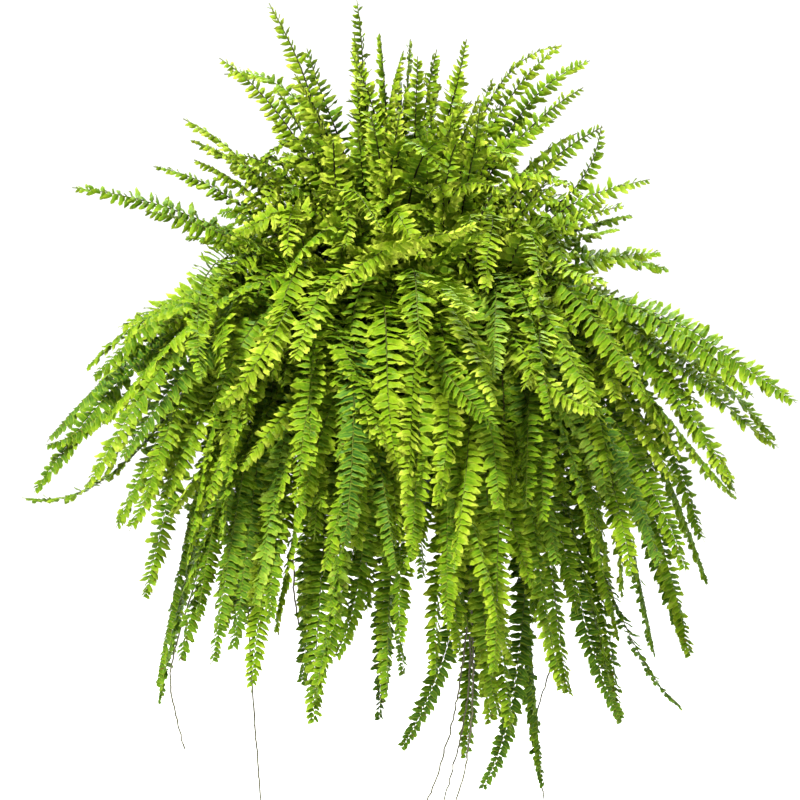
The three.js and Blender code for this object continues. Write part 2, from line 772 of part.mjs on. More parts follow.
function buildPlant() {
  const plant = new THREE.Group();
  const tufts = tuftPlaces();
  const pot = potSolid();
  const soil = soilSolid([...tufts.map(tuftHole), ...RUNNERS.map(runnerHole)]);
  const hook = hookSolid();
  const strands = Array.from({ length: STRANDS }, (_, i) => strandSolid(i));
  const runners = RUNNERS.map(runnerSolid);
  for (const tuft of tufts) {
    tuft.obstacle = { ...asObstacle(toSolid(tuftStub(tuft, FROND_CLEARANCE))), tuft };
  }
  growFronds(tufts, [pot, soil, hook, ...strands, ...runners].map(asObstacle));

  addMesh(plant, "pot", pot, potMaterial());
  addMesh(plant, "soil", soil, soilMaterial());
  addMesh(plant, "hook", hook, hangerMaterial());
  strands.forEach((solid, i) => addMesh(plant, `strand_${i + 1}`, solid, hangerMaterial()));
  runners.forEach((solid, i) => addMesh(plant, `runner_${i + 1}`, solid, runnerMaterial()));
  tufts.forEach((tuft, i) => addMesh(plant, `tuft_${i + 1}`, tuftSolid(tuft), frondMaterial()));
  return plant;
}

const group = buildPlant();

export default group;
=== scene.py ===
# %% [markdown]
# # A Boston-type fern in a hanging pot
# The solids of the plant come in as a fixed frame: a pot, its soil, a hook with three strands,
# five wiry runners and forty-four tufts of fronds. Each frond there is a plain toothed blade.
# Here every node is dressed with a finer piece that keeps its place and form. Young fronds,
# which the solids leave out, and crumbs on the soil are added.

# %% Load the frame
import itertools
import math

import bmesh
import bpy
import numpy as np
from mathutils import Matrix, Vector, kdtree


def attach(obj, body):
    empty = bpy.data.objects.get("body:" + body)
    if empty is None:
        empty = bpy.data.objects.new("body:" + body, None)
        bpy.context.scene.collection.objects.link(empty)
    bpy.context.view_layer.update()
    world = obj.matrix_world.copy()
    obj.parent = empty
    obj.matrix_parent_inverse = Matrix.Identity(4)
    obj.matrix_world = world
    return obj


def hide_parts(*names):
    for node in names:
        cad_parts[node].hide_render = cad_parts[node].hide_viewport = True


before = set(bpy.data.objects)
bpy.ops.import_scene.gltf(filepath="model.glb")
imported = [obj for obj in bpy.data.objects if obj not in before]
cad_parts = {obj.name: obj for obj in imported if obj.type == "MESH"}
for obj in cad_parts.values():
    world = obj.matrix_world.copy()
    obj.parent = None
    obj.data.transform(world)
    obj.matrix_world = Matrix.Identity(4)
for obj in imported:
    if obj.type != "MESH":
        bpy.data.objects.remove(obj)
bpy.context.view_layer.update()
MM = 0.001
print("nodes:", len(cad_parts))

# %% [markdown]
# The camera comes first, because every later choice is judged through it. It stands in front of
# the plant, a little above its middle, far enough away that the near fronds aren't enlarged.

# %% Camera
VIEW_MIDDLE = Vector((0, 0, -0.312))
VIEW_DISTANCE = 2.4
VIEW_ELEVATION = math.radians(8)
VIEW_WIDTH = 0.8
SENSOR = 36


def add_object(name, data):
    """Puts a mesh, a lamp or a camera into the scene."""
    thing = bpy.data.objects.new(name, data)
    bpy.context.collection.objects.link(thing)
    return thing


camera = add_object("camera", bpy.data.cameras.new("camera"))
camera.location = VIEW_MIDDLE + VIEW_DISTANCE * Vector(
    (0, -math.cos(VIEW_ELEVATION), math.sin(VIEW_ELEVATION))
)
camera.rotation_euler = (math.pi / 2 - VIEW_ELEVATION, 0, 0)
camera.data.sensor_width = SENSOR
camera.data.lens = SENSOR * VIEW_DISTANCE / VIEW_WIDTH
bpy.context.scene.camera = camera
bpy.context.scene.view_settings.view_transform = "Standard"
print("lens:", camera.data.lens)

# %% [markdown]
# Three round softboxes light the plant: a key light above on the left, a weak fill low in front
# and a back light that catches the upper fronds. The world is plain white to the camera but
# gives only a little light, so that the background stays white while the fronds keep their
# shadows.

# %% Light
ROOM_LIGHT = 0.095
# Place and width in metres, then power in watts
SOFTBOXES = {
    "key_light": ((-0.9, -1.7, 2.2), 0.45, 352),
    "front_fill": ((1.1, -2.5, -0.5), 1.0, 25),
    "back_light": ((0.6, 1.5, 2.0), 1.2, 210),
}
for name, (place, width, power) in SOFTBOXES.items():
    lamp = bpy.data.lights.new(name, "AREA")
    lamp.shape = "DISK"
    lamp.size = width
    lamp.energy = power
    softbox = add_object(name, lamp)
    softbox.location = place
    softbox.rotation_euler = (VIEW_MIDDLE - Vector(place)).to_track_quat("-Z", "Y").to_euler()

world = bpy.data.worlds.new("studio")
bpy.context.scene.world = world
world.use_nodes = True
studio_white = world.node_tree.nodes["Background"]
studio_white.inputs["Color"].default_value = (1, 1, 1, 1)
ray = world.node_tree.nodes.new("ShaderNodeLightPath")
lit_or_seen = world.node_tree.nodes.new("ShaderNodeMapRange")
lit_or_seen.inputs["To Min"].default_value = ROOM_LIGHT
world.node_tree.links.new(ray.outputs["Is Camera Ray"], lit_or_seen.inputs["Value"])
world.node_tree.links.new(lit_or_seen.outputs["Result"], studio_white.inputs["Strength"])
print("softboxes:", list(SOFTBOXES))

# %% [markdown]
# Every material below is a small network of shader nodes: a grain that sits on the piece, a ramp
# that turns it into colours, and a bump that roughens the surface. A few helpers keep those
# networks short.

# %% Small helpers for shader nodes
MIX_SHARE, MIX_FIRST, MIX_SECOND, MIX_RESULT = 0, 6, 7, 2  # a Mix node's sockets for colours


def new_material(name):
    material = bpy.data.materials.new(name)
    material.use_nodes = True
    tree = material.node_tree
    return material, tree, tree.nodes["Principled BSDF"]


def fill(tree, node, *inputs):
    """Fills a node's inputs, each with another node's result, a colour or a number."""
    for name, value in inputs:
        if isinstance(value, bpy.types.NodeSocket):
            tree.links.new(value, node.inputs[name])
        elif isinstance(value, tuple):
            node.inputs[name].default_value = (*value, 1)
        else:
            node.inputs[name].default_value = value


def add_node(tree, kind, *inputs, **settings):
    """A node with its settings made and its inputs filled."""
    node = tree.nodes.new(kind)
    for key, value in settings.items():
        setattr(node, key, value)
    fill(tree, node, *inputs)
    return node


def maths(tree, operation, *values):
    node = add_node(tree, "ShaderNodeMath", *enumerate(values), operation=operation)
    return node.outputs[0]


def smooth_range(tree, value, low, high, to_low=0.0, to_high=1.0):
    node = add_node(
        tree,
        "ShaderNodeMapRange",
        ("Value", value),
        ("From Min", low),
        ("From Max", high),
        ("To Min", to_low),
        ("To Max", to_high),
        interpolation_type="SMOOTHSTEP",
    )
    return node.outputs["Result"]


def blend_colours(tree, share, first, second):
    node = add_node(tree, "ShaderNodeMix", data_type="RGBA")
    fill(tree, node, (MIX_SHARE, share), (MIX_FIRST, first), (MIX_SECOND, second))
    return node.outputs[MIX_RESULT]


def grain(tree, scale, detail=3.0, roughness=0.5):
    """Noise that stays on the piece, at so many waves a metre."""
    coordinates = tree.nodes.new("ShaderNodeTexCoord")
    node = add_node(
        tree,
        "ShaderNodeTexNoise",
        ("Vector", coordinates.outputs["Object"]),
        ("Scale", scale),
        ("Detail", detail),
        ("Roughness", roughness),
    )
    return node.outputs[0]


def colour_steps(tree, value, steps):
    """A ramp of colours, each with its place from 0 to 1."""
    node = add_node(tree, "ShaderNodeValToRGB", (0, value))
    ramp = node.color_ramp
    while len(ramp.elements) < len(steps):
        ramp.elements.new(0.5)
    for element, (place, colour) in zip(ramp.elements, steps):
        element.position = place
        element.color = (*colour, 1)
    return node.outputs[0]


def raise_surface(tree, shader, height, strength, distance):
    bump = add_node(
        tree, "ShaderNodeBump", ("Height", height), ("Strength", strength), ("Distance", distance)
    )
    fill(tree, shader, ("Normal", bump.outputs[0]))
    return bump.outputs[0]


# %% The pale floor, curved up all round so that no horizon shows
FLOOR_HEIGHT = -1.15
FLOOR_RADIUS = 4.5
FLOOR_BEND = 1.6
FLOOR_RIM = 2.0
FLOOR_STEPS = 96
FLOOR_GREY = (0.93, 0.93, 0.93)
FLOOR_GLOW = 0.13
SAME_POINT = 1e-6


def face_order(face):
    """A number that puts a spun shape's faces in the same order at each run."""
    corners = [vert.index for vert in face.verts]
    return min(corners) * 1e6 + max(corners)


def spin_round(profile, steps):
    """A surface of revolution about Z from points of radius and height, in metres."""
    shape = bmesh.new()
    line = [shape.verts.new((radius, 0, height)) for radius, height in profile]
    edges = [shape.edges.new(pair) for pair in zip(line, line[1:])]
    bmesh.ops.spin(
        shape,
        geom=line + edges,
        cent=(0, 0, 0),
        axis=(0, 0, 1),
        angle=2 * math.pi,
        steps=steps,
        use_merge=True,
    )
    bmesh.ops.remove_doubles(shape, verts=shape.verts, dist=SAME_POINT)
    shape.verts.index_update()
    shape.faces.sort(key=face_order)
    return shape


def object_from(shape, name):
    """Turns a finished bmesh into a smooth object of the scene."""
    for face in shape.faces:
        face.smooth = True
    mesh = bpy.data.meshes.new(name)
    shape.to_mesh(mesh)
    shape.free()
    return add_object(name, mesh)


profile = [(0, FLOOR_HEIGHT)]
for degrees in range(0, 91, 6):
    turn = math.radians(degrees)
    reach = FLOOR_RADIUS + FLOOR_BEND * math.sin(turn)
    profile.append((reach, FLOOR_HEIGHT + FLOOR_BEND * (1 - math.cos(turn))))
profile.append((FLOOR_RADIUS + FLOOR_BEND, FLOOR_RIM))
floor = object_from(spin_round(profile, FLOOR_STEPS), "floor")
floor_paint, tree, shader = new_material("pale_floor")
fill(tree, shader, ("Base Color", FLOOR_GREY), ("Roughness", 0.9))
fill(tree, shader, ("Emission Color", (1, 1, 1)), ("Emission Strength", FLOOR_GLOW))
floor.data.materials.append(floor_paint)
print("floor:", len(floor.data.polygons), "faces")

# %% [markdown]
# ## Where the fronds stand
# The solids were grown by a seeded rule: a list of wished-for fronds, each shifted a little at a
# time until it was clear of the others. The same rule is repeated here, so that the fine fronds
# follow the same lines. Which shift each frond ended on isn't known, so it is found again: a
# frond's place is right when the corners of its blade are corners of the solid tuft.

# %% Numbers of the growing rule, in millimetres
SOIL_TOP = -250
TUFT_RINGS = ((8, 27), (15, 60), (21, 93))
TUFT_PROUD = 7
TUFT_RADIUS = 7
FROND_ROOT_CIRCLE = 3
FROND_ROOT_TURN = 2
FROND_ROOT_DEPTH = 5.2
STALK_SHARE = 0.22
ELBOW_SHARE = 0.3
TWIST_RATE = 1.4
LEAFLET_LENGTH = 25
LEAFLET_PITCH = 88
LEAFLET_SWEEP = 0.32
LEAFLET_DROOP = 0.2
LEAFLET_FOOT = 0.5
LEAFLET_GROWTH = 2.2
LEAFLET_TAPER = 3.5
FEWEST_PAIRS = 4
MOST_PAIRS = 8
LENGTH_SAMPLES = 24
TRIES = 120
GENTLE_TRIES = 40
EARLY_SHIFT = 0.35
SHIFT = (16, 45, 55, 45, 45)
FILLING_ROLL = 30
SEED = 41
SEED_STEP = 977

# Tip (right, back, up from the middle of the soil), elbow height and roll in degrees
SHAPING_FRONDS = (
    # upright and leaning, left of the middle
    (-125, -30, 330, 190, 80), (-40, -10, 320, 185, 60), (-20, -60, 300, 175, 45),
    (0, 40, 280, 160, -40), (-180, 20, 275, 210, 50), (-180, 70, 260, 290, 20),
    (-110, -60, 245, 140, 40), (-165, -50, 215, 170, 40), (-200, -20, 215, 180, 35),
    (-210, 50, 195, 165, 10), (-195, -90, 180, 140, 30), (-245, 20, 170, 140, 20),
    (-325, 10, 150, 125, 35), (-245, -70, 130, 105, 25),
    # upright and leaning, right of the middle
    (35, -40, 275, 160, 30), (160, 20, 290, 235, 30), (190, 60, 275, 220, 40),
    (170, -10, 240, 195, 50), (170, -70, 220, 175, 30), (150, -125, 185, 145, 20),
    (200, 10, 210, 170, 75), (180, 90, 200, 165, -20), (245, -10, 160, 135, 40),
    (215, -70, 135, 110, 30), (220, 60, 105, 90, 10), (255, -30, 90, 75, 35),
    (270, 30, 65, 120, 20), (205, -125, 65, 105, 20),
    # upright, round the middle
    (-75, -50, 225, 135, 35), (-45, -75, 190, 130, 10), (-15, -85, 235, 140, -15),
    (20, -70, 200, 130, 15), (50, -80, 225, 135, 10), (85, -60, 250, 145, 40),
    (110, -50, 205, 125, 45), (70, 10, 290, 165, 60), (-90, 20, 270, 155, 60),
    (10, -45, 262, 150, 0), (-12, -55, 248, 145, 0), (28, -58, 236, 140, 0),
    (-130, -70, 170, 110, 30), (130, -80, 140, 100, 25),
    # arching and hanging, left side
    (-270, -60, 15, 110, 35), (-305, -20, -35, 115, 40), (-310, 60, -55, 110, 10),
    (-360, 20, -110, 100, 20), (-380, -40, -160, 108, 45), (-305, -90, -135, 130, 30),
    (-305, 60, -150, 120, 0), (-285, 0, -190, 120, 35), (-260, -125, -180, 110, 20),
    (-250, 20, -380, 210, 40), (-255, -60, -255, 200, 45), (-215, -125, -310, 190, 35),
    (-160, -170, -280, 205, 20), (-155, 60, -335, 185, 0), (-80, -195, -345, 220, 10),
    (-105, 110, -380, 175, 0), (-20, 175, -445, 210, 0),
    # arching and hanging, right side
    (375, -40, -75, 95, 40), (390, 40, -120, 112, 20), (340, -100, -45, 120, 25),
    (325, -80, -135, 140, 35), (350, 70, -180, 120, 10), (305, -30, -200, 195, 40),
    (320, 60, -265, 180, 10), (290, -60, -315, 225, 45), (295, 30, -310, 190, 20),
    (300, 90, -405, 200, 10), (215, -125, -370, 230, 30), (160, -170, -325, 225, 15),
    (95, -220, -340, 220, 0), (65, -140, -400, 235, 10), (135, -110, -430, 220, 10),
    (75, -160, -415, 205, 0), (70, 170, -440, 200, 0), (110, 160, -430, 210, 0),
    # the front face
    (42, -200, -170, 150, 0), (78, -195, -110, 150, 5), (-52, -195, -120, 150, 5),
    (75, -220, 120, 105, 0), (-45, -170, 105, 90, 15), (60, -335, 55, 115, -10),
    (-175, -195, -45, 155, 25), (-95, -265, 10, 160, 10), (20, -310, 20, 155, 0),
    (45, -275, -130, 170, -8), (-5, -240, -160, 165, 5), (90, -270, -125, 175, 0),
    (145, -230, -185, 180, 10), (180, -220, -50, 160, 15), (225, -170, -45, 170, 25),
    (195, -170, -135, 170, 20), (-180, -170, -110, 160, 25), (-40, -245, -165, 165, 5),
    (110, -185, -295, 180, 0), (205, -125, -255, 190, 25), (-170, -160, -225, 180, 25),
    (-80, -230, -160, 165, 10), (-30, -190, -235, 160, 5), (-90, -260, -95, 145, 10),
    (-125, -140, -250, 160, 15),
)

# How many, then ranges of reach, rise and elbow, and the sector in degrees; an elbow of up to 1 is
# a share of the rise
FILLING_FRONDS = (
    (7, (60, 150), (190, 280), (0.5, 0.65), (10, 170)),
    (10, (170, 260), (60, 190), (0.7, 1.0), (5, 175)),
    (12, (270, 340), (-130, 20), (120, 170), (10, 170)),
    (12, (200, 280), (-370, -190), (160, 220), (5, 175)),
    (8, (195, 240), (-300, -150), (160, 200), (205, 335)),
    (8, (150, 220), (40, 120), (0.8, 1.0), (200, 340)),
    (13, (210, 290), (-160, 30), (110, 150), (195, 345)),
)
print("wishes:", len(SHAPING_FRONDS) + sum(row[0] for row in FILLING_FRONDS))


# %% The seeded numbers and the list of wishes
WORD = 0xFFFFFFFF


def seeded_random(seed):
    """Numbers from 0 to 1, mixed from 32-bit whole numbers by the seeded rule of the solids."""
    state = seed & WORD

    def draw():
        nonlocal state
        state = (state + 0x6D2B79F5) & WORD
        mixed = ((state ^ (state >> 15)) * (1 | state)) & WORD
        added = ((mixed ^ (mixed >> 7)) * (61 | mixed)) & WORD
        mixed = ((mixed + added) & WORD) ^ mixed
        return (mixed ^ (mixed >> 14)) / (WORD + 1)

    return draw


def between(limits, share):
    return limits[0] + (limits[1] - limits[0]) * share


def all_wishes():
    """The shaping fronds, their roll mirrored on the left, and then the filling ones."""
    wishes = []
    for x, y, z, elbow, roll in SHAPING_FRONDS:
        wishes.append((x, y, z, elbow, roll * (-1 if x < 0 else 1)))
    random = seeded_random(SEED)
    for count, reach, rise, elbow, sector in FILLING_FRONDS:
        for i in range(count):
            angle = math.radians(between(sector, (i + random()) / count))
            distance = between(reach, random())
            z = between(rise, random())
            bend = between(elbow, random())
            roll = FILLING_ROLL * (2 * random() - 1)
            x, y = distance * math.cos(angle), distance * math.sin(angle)
            wishes.append((x, y, z, bend if bend > 1 else bend * z, roll))
    return wishes


def shifts(index, attempt):
    """Turn in degrees, reach, rise, elbow and roll that one try adds to its wish."""
    random = seeded_random(SEED + index * SEED_STEP + attempt)
    late = EARLY_SHIFT + (1 - EARLY_SHIFT) * min(1, attempt / TRIES)
    share = min(1, attempt / GENTLE_TRIES) * late
    return [(2 * random() - 1) * limit * share for limit in SHIFT]


wishes = all_wishes()
print("first filling frond:", [round(v, 2) for v in wishes[len(SHAPING_FRONDS)]])


# %% A frond's line: a bent rib with a direction, a face and a side at each share of its length
def on_circle(radius, angle, z=0.0):
    return np.array((radius * math.cos(angle), radius * math.sin(angle), z))


def frond_ends(wish, shift):
    x, y, z, elbow, roll = wish
    turn, reach, rise, lift, twist = shift
    angle = math.atan2(y, x) + math.radians(turn)
    tip = on_circle(math.hypot(x, y) + reach, angle, SOIL_TOP + z + rise)
    return {"angle": angle, "tip": tip, "elbow": elbow + lift, "roll": math.radians(roll + twist)}


def frond_shape(place, order, ends):
    root = place + on_circle(FROND_ROOT_CIRCLE, ends["angle"] + FROND_ROOT_TURN * order)
    root[2] = SOIL_TOP + TUFT_PROUD - FROND_ROOT_DEPTH
    out = ends["tip"] - root
    out[2] = 0
    elbow = root + ELBOW_SHARE * out
    elbow[2] = SOIL_TOP + ends["elbow"]
    points = np.array((root, elbow, ends["tip"]))
    return {"points": points, "out": out / np.linalg.norm(out), "roll": ends["roll"]}


def unit(vectors):
    return vectors / np.linalg.norm(vectors, axis=-1, keepdims=True)


def swung(first, second, angles):
    """Directions turned from the first towards the second, by one angle each."""
    return np.cos(angles)[:, None] * first + np.sin(angles)[:, None] * second


def curve_point(points, t):
    """A point of the Bezier curve, found by halving the row of control points down to one."""
    t = np.asarray(t)[..., None]
    row = list(points)
    while len(row) > 1:
        row = [(1 - t) * first + t * second for first, second in zip(row, row[1:])]
    return row[0]


def frond_length(shape):
    steps = curve_point(shape["points"], np.linspace(0, 1, LENGTH_SAMPLES + 1))
    return float(np.linalg.norm(np.diff(steps, axis=0), axis=1).sum())


def stand(shape, shares):
    """Points, directions along, faces and sides at equal shares of a frond's length."""
    points = shape["points"]
    grid = np.linspace(0, 1, LENGTH_SAMPLES + 1)
    steps = np.linalg.norm(np.diff(curve_point(points, grid), axis=0), axis=1)
    run = np.concatenate(([0], np.cumsum(steps)))
    shares = np.asarray(shares, float)
    t = np.interp(shares * run[-1], run, grid)
    along = unit(curve_point(np.diff(points, axis=0), t))
    across = np.array((-shape["out"][1], shape["out"][0], 0))
    face = unit(np.cross(along, across))
    face = swung(face, np.cross(along, face), shape["roll"] * np.minimum(1, TWIST_RATE * shares))
    return curve_point(points, t), along, face, np.cross(along, face)


# %% Finding each frond in the solids
TIP_REACH = 0.9
CORNER_REACH = 0.25
MATCHED_SHARE = 0.6

tufts = []
for ring, (count, radius) in enumerate(TUFT_RINGS):
    for i in range(count):
        place = on_circle(radius, 2 * math.pi * (i + 0.5 * (ring % 2)) / count, SOIL_TOP)
        tufts.append({"ring": ring, "place": place, "fronds": [], "young": []})


def node_corners(name):
    """The corners of a solid, each once, in millimetres."""
    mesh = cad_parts[name].data
    flat = np.empty(len(mesh.vertices) * 3, np.float32)
    mesh.vertices.foreach_get("co", flat)
    return np.unique(np.round(flat.reshape(-1, 3) / MM, 3), axis=0)


corner_rows = [node_corners(f"tuft_{i + 1}") for i in range(len(tufts))]
owners = np.concatenate([np.full(len(rows), i) for i, rows in enumerate(corner_rows)])
corners = kdtree.KDTree(len(owners))
for i, point in enumerate(np.concatenate(corner_rows)):
    corners.insert(point, i)
corners.balance()
print("corners of the tufts:", len(owners))


def solid_leaflet_tips(shape):
    """Where the solid's leaflets end, by the rule that made it."""
    blade = frond_length(shape) * (1 - STALK_SHARE)
    pairs = min(MOST_PAIRS, max(FEWEST_PAIRS, math.floor(blade / LEAFLET_PITCH + 0.5)))
    levels = np.arange(1, 2 * pairs)
    q = levels / (2 * pairs)
    point, along, face, side = stand(shape, STALK_SHARE + (1 - STALK_SHARE) * q)
    growth = np.minimum(1, LEAFLET_FOOT + LEAFLET_GROWTH * q)
    reach = LEAFLET_LENGTH * growth * (1 - q**LEAFLET_TAPER)
    hand = np.where(levels % 2 == 1, 1, -1)
    sweep = LEAFLET_SWEEP * blade / pairs
    droop = LEAFLET_DROOP * reach
    return point + sweep * along + (hand * reach)[:, None] * side - droop[:, None] * face


def matched_tuft(ends):
    """The tuft that has this frond among its corners, if any, and the frond's line."""
    near = corners.find_range(ends["tip"], TIP_REACH)
    for owner in {int(owners[index]) for _, index, _ in near}:
        tuft = tufts[owner]
        shape = frond_shape(tuft["place"], len(tuft["fronds"]), ends)
        tips = solid_leaflet_tips(shape)
        hits = sum(corners.find(tip)[2] < CORNER_REACH for tip in tips)
        if hits >= MATCHED_SHARE * len(tips):
            return tuft, shape
    return None, None


for index, wish in enumerate(wishes):
    for attempt in range(TRIES):
        tuft, shape = matched_tuft(frond_ends(wish, shifts(index, attempt)))
        if tuft:
            tuft["fronds"].append(shape)
            break
frond_total = sum(len(tuft["fronds"]) for tuft in tufts)
print("fronds found in the solids:", frond_total)

# %% [markdown]
# ## Leaflets
# Most fronds carry some seventy leaflets, and the longest twice as many, so a leaflet may have
# only a few dozen faces. It starts as a sphere of three sides, whose rings are then moved to the
# leaflet's outline: that gives a closed thin blade with a fold along its midrib, without any list
# of faces written out. A few variants, each bent and waved a little differently, keep the rows
# from looking stamped.

# %% Reading a small shape as a template
def read_template(shape):
    """A closed bmesh as rows of numbers: faces outwards and sorted, and reversed for mirroring."""
    bmesh.ops.recalc_face_normals(shape, faces=shape.faces)
    shape.verts.index_update()
    points = np.array([v.co[:] for v in shape.verts])
    faces = sorted([v.index for v in f.verts] for f in shape.faces)
    shape.free()
    return {
        "points": points,
        "sizes": np.array([len(face) for face in faces]),
        "corners": np.array([corner for face in faces for corner in face]),
        "mirrored": np.array([corner for face in faces for corner in reversed(face)]),
    }


def template_triangles(template):
    return int((template["sizes"] - 2).sum())


# %% Leaflet variants
LEAFLET_SIDES = 3
LEAFLET_RINGS = (6, 5, 4)
LEAFLET_HALF_WIDTH = 0.215
LEAFLET_THICK = 0.012
LEAFLET_HEEL = 0.02
NARROWING = 0.30
SCALLOP = 0.17
RUFFLE = 0.075
CURL = 0.10
# How far each variant's tip droops and bows forward, and how deep its fold is
VARIANT_BENDS = (
    (0.02, 0.14, 0.26),
    (0.16, 0.06, 0.36),
    (0.26, 0.20, 0.20),
    (0.08, 0.02, 0.30),
    (-0.16, 0.16, 0.16),
    (0.20, 0.10, 0.24),
)
VARIANTS = len(VARIANT_BENDS)


def leaflet_template(rings, variant):
    """A leaflet one unit long on +X, its face up, with how far along and across each point lies."""
    droop, bow, fold = VARIANT_BENDS[variant]
    shape = bmesh.new()
    bmesh.ops.create_uvsphere(shape, u_segments=LEAFLET_SIDES, v_segments=rings, radius=1)
    template = read_template(shape)
    x, y, z = template["points"].T
    ring = np.round(np.arccos(-np.clip(z, -1, 1)) / math.pi * rings)
    pole = (ring == 0) | (ring == rings)
    corner = np.round(np.arctan2(y, x) / (2 * math.pi / LEAFLET_SIDES)) % LEAFLET_SIDES
    across = np.where(pole, 0, np.array((0, 1, -1))[corner.astype(int)])
    run = ((ring - 1) / (rings - 1)).clip(0) ** 0.88
    along = np.where(ring == 0, 0, LEAFLET_HEEL + (1 - LEAFLET_HEEL) * run)
    # broad near the heel, narrowing gently, then closed in a short round tip
    scallop = 1 + SCALLOP * np.cos(math.pi * ring + variant * 1.7 + (across < 0) * 1.3)
    outline = (1 - NARROWING * along**1.3) * (1 - along**5) ** 0.7 * scallop
    width = LEAFLET_HALF_WIDTH * outline * across
    ruffle = RUFFLE * np.cos(math.pi * ring + 1.1 * variant) * np.abs(across) * along
    curl = CURL * np.sin(5.5 * along + 2.1 * variant) * across * along
    crest = np.where(across == 0, LEAFLET_THICK + fold * LEAFLET_HALF_WIDTH * outline, 0)
    height = np.where(pole, 0, crest + ruffle + curl) - droop * along**2
    template["points"] = np.stack((along, width + bow * along**2, height), axis=1)
    template["along"], template["across"] = along, across
    return template


leaflets = {
    rings: [leaflet_template(rings, variant) for variant in range(VARIANTS)]
    for rings in LEAFLET_RINGS
}
for rings, variants in leaflets.items():
    print("leaflet of", rings, "rings:", template_triangles(variants[0]), "triangles")

# %% [markdown]
# The rib is a tube. A cone shape of four sides is cut across into rings by subdividing its long
# edges, and each ring is then carried to its place on the frond's line.


# %% Rib template
RIB_SIDES = 4
RIB_CUTS = 14


def new_cone(sides, foot, head, height=1.0):
    """A closed upright cone or rod, centred on the origin."""
    shape = bmesh.new()
    bmesh.ops.create_cone(
        shape,
        cap_ends=True,
        cap_tris=False,
        segments=sides,
        radius1=foot,
        radius2=head,
        depth=height,
    )
    return shape


def cut_across(shape, cuts):
    """Rings cut across the long edges of an upright cone one unit high."""
    long_edges = [e for e in shape.edges if abs(e.verts[0].co.z - e.verts[1].co.z) > 0.5]
    bmesh.ops.subdivide_edges(shape, edges=long_edges, cuts=cuts, use_grid_fill=False)


def rod_template(sides, cuts):
    """A closed rod from z = 0 to 1 with unit radius, cut across into short lengths."""
    shape = new_cone(sides, 1, 1)
    bmesh.ops.translate(shape, vec=(0, 0, 0.5), verts=shape.verts)
    cut_across(shape, cuts)
    return read_template(shape)


rib_rod = rod_template(RIB_SIDES, RIB_CUTS)
print("rib:", template_triangles(rib_rod), "triangles")


# %% Gathering copies into one mesh
FACTS = ("leaf", "frond")
NO_FACTS = np.zeros(3)
PILE_ROWS = ("points", "corners", "sizes", "paint")


def new_pile():
    return {"count": 0, **{row: [] for row in PILE_ROWS + FACTS}}


def gather(pile, template, points, paint=0, leaf=NO_FACTS, frond=NO_FACTS, mirrored=False):
    """Adds copies of a template: points are (copies, corners, 3), with two rows of shader facts."""
    copies, per_copy = points.shape[:2]
    starts = pile["count"] + per_copy * np.arange(copies)
    corners_of = template["mirrored" if mirrored else "corners"]
    pile["points"].append(points.reshape(-1, 3))
    pile["corners"].append((starts[:, None] + corners_of[None]).ravel())
    pile["sizes"].append(np.tile(template["sizes"], copies))
    pile["paint"].append(np.full(copies * len(template["sizes"]), paint))
    for key, facts in zip(FACTS, (leaf, frond)):
        pile[key].append(np.broadcast_to(facts, points.shape).reshape(-1, 3))
    pile["count"] += copies * per_copy


def piece_from(pile, name, materials, smooth_paints=()):
    """One object from a pile of copies, in metres, with the shader facts as attributes."""
    points, loop_corners, sizes, paint = (np.concatenate(pile[row]) for row in PILE_ROWS)
    mesh = bpy.data.meshes.new(name)
    mesh.vertices.add(len(points))
    mesh.vertices.foreach_set("co", (points * MM).astype(np.float32).ravel())
    mesh.loops.add(len(loop_corners))
    mesh.loops.foreach_set("vertex_index", loop_corners.astype(np.int32))
    mesh.polygons.add(len(sizes))
    starts = np.concatenate(([0], np.cumsum(sizes)[:-1]))
    mesh.polygons.foreach_set("loop_start", starts.astype(np.int32))
    mesh.polygons.foreach_set("material_index", paint.astype(np.int32))
    mesh.polygons.foreach_set("use_smooth", np.isin(paint, smooth_paints))
    for key in FACTS:
        facts = mesh.attributes.new(key, "FLOAT_VECTOR", "POINT")
        facts.data.foreach_set("vector", np.concatenate(pile[key]).astype(np.float32).ravel())
    mesh.update(calc_edges=True)
    for material in materials:
        mesh.materials.append(material)
    return add_object(name, mesh)


def triangles_of(piece):
    return sum(len(face.vertices) - 2 for face in piece.data.polygons)


# %% [markdown]
# ## The colour of a frond
# A frond's tone is painted light and shade: lime where the frond stands high or in front, a
# deeper green low down and at the back. Leaflets are paler along their margins and midribs. A
# leaflet is thin enough that light comes through it, so a translucent shader is mixed in. The
# facts stored with each point (how far along the leaflet, how far across, the frond's tone)
# steer it.


# %% Leaflet material
LIME = (
    (0.0, (0.007, 0.027, 0.001)),
    (0.3, (0.028, 0.080, 0.002)),
    (0.55, (0.080, 0.168, 0.003)),
    (0.78, (0.178, 0.272, 0.007)),
    (1.0, (0.365, 0.430, 0.040)),
)
EMERALD = (
    (0.0, (0.004, 0.024, 0.006)),
    (0.6, (0.016, 0.090, 0.018)),
    (1.0, (0.060, 0.190, 0.040)),
)
EDGE_COLOUR = (0.34, 0.40, 0.030)
MIDRIB_COLOUR = (0.16, 0.22, 0.010)
SPORE_COLOUR = (0.085, 0.042, 0.012)
THROUGH_COLOUR = (0.28, 0.40, 0.010)
THROUGH_SHARE = 0.25
VEINS = 15.0
VEIN_SLANT = 2.2
VEIN_TURN = 6.283


def stored_facts(tree, name):
    """The three numbers that a piece stores under a name with each of its points."""
    facts = add_node(tree, "ShaderNodeAttribute", attribute_name=name)
    return add_node(tree, "ShaderNodeSeparateXYZ", (0, facts.outputs["Vector"])).outputs


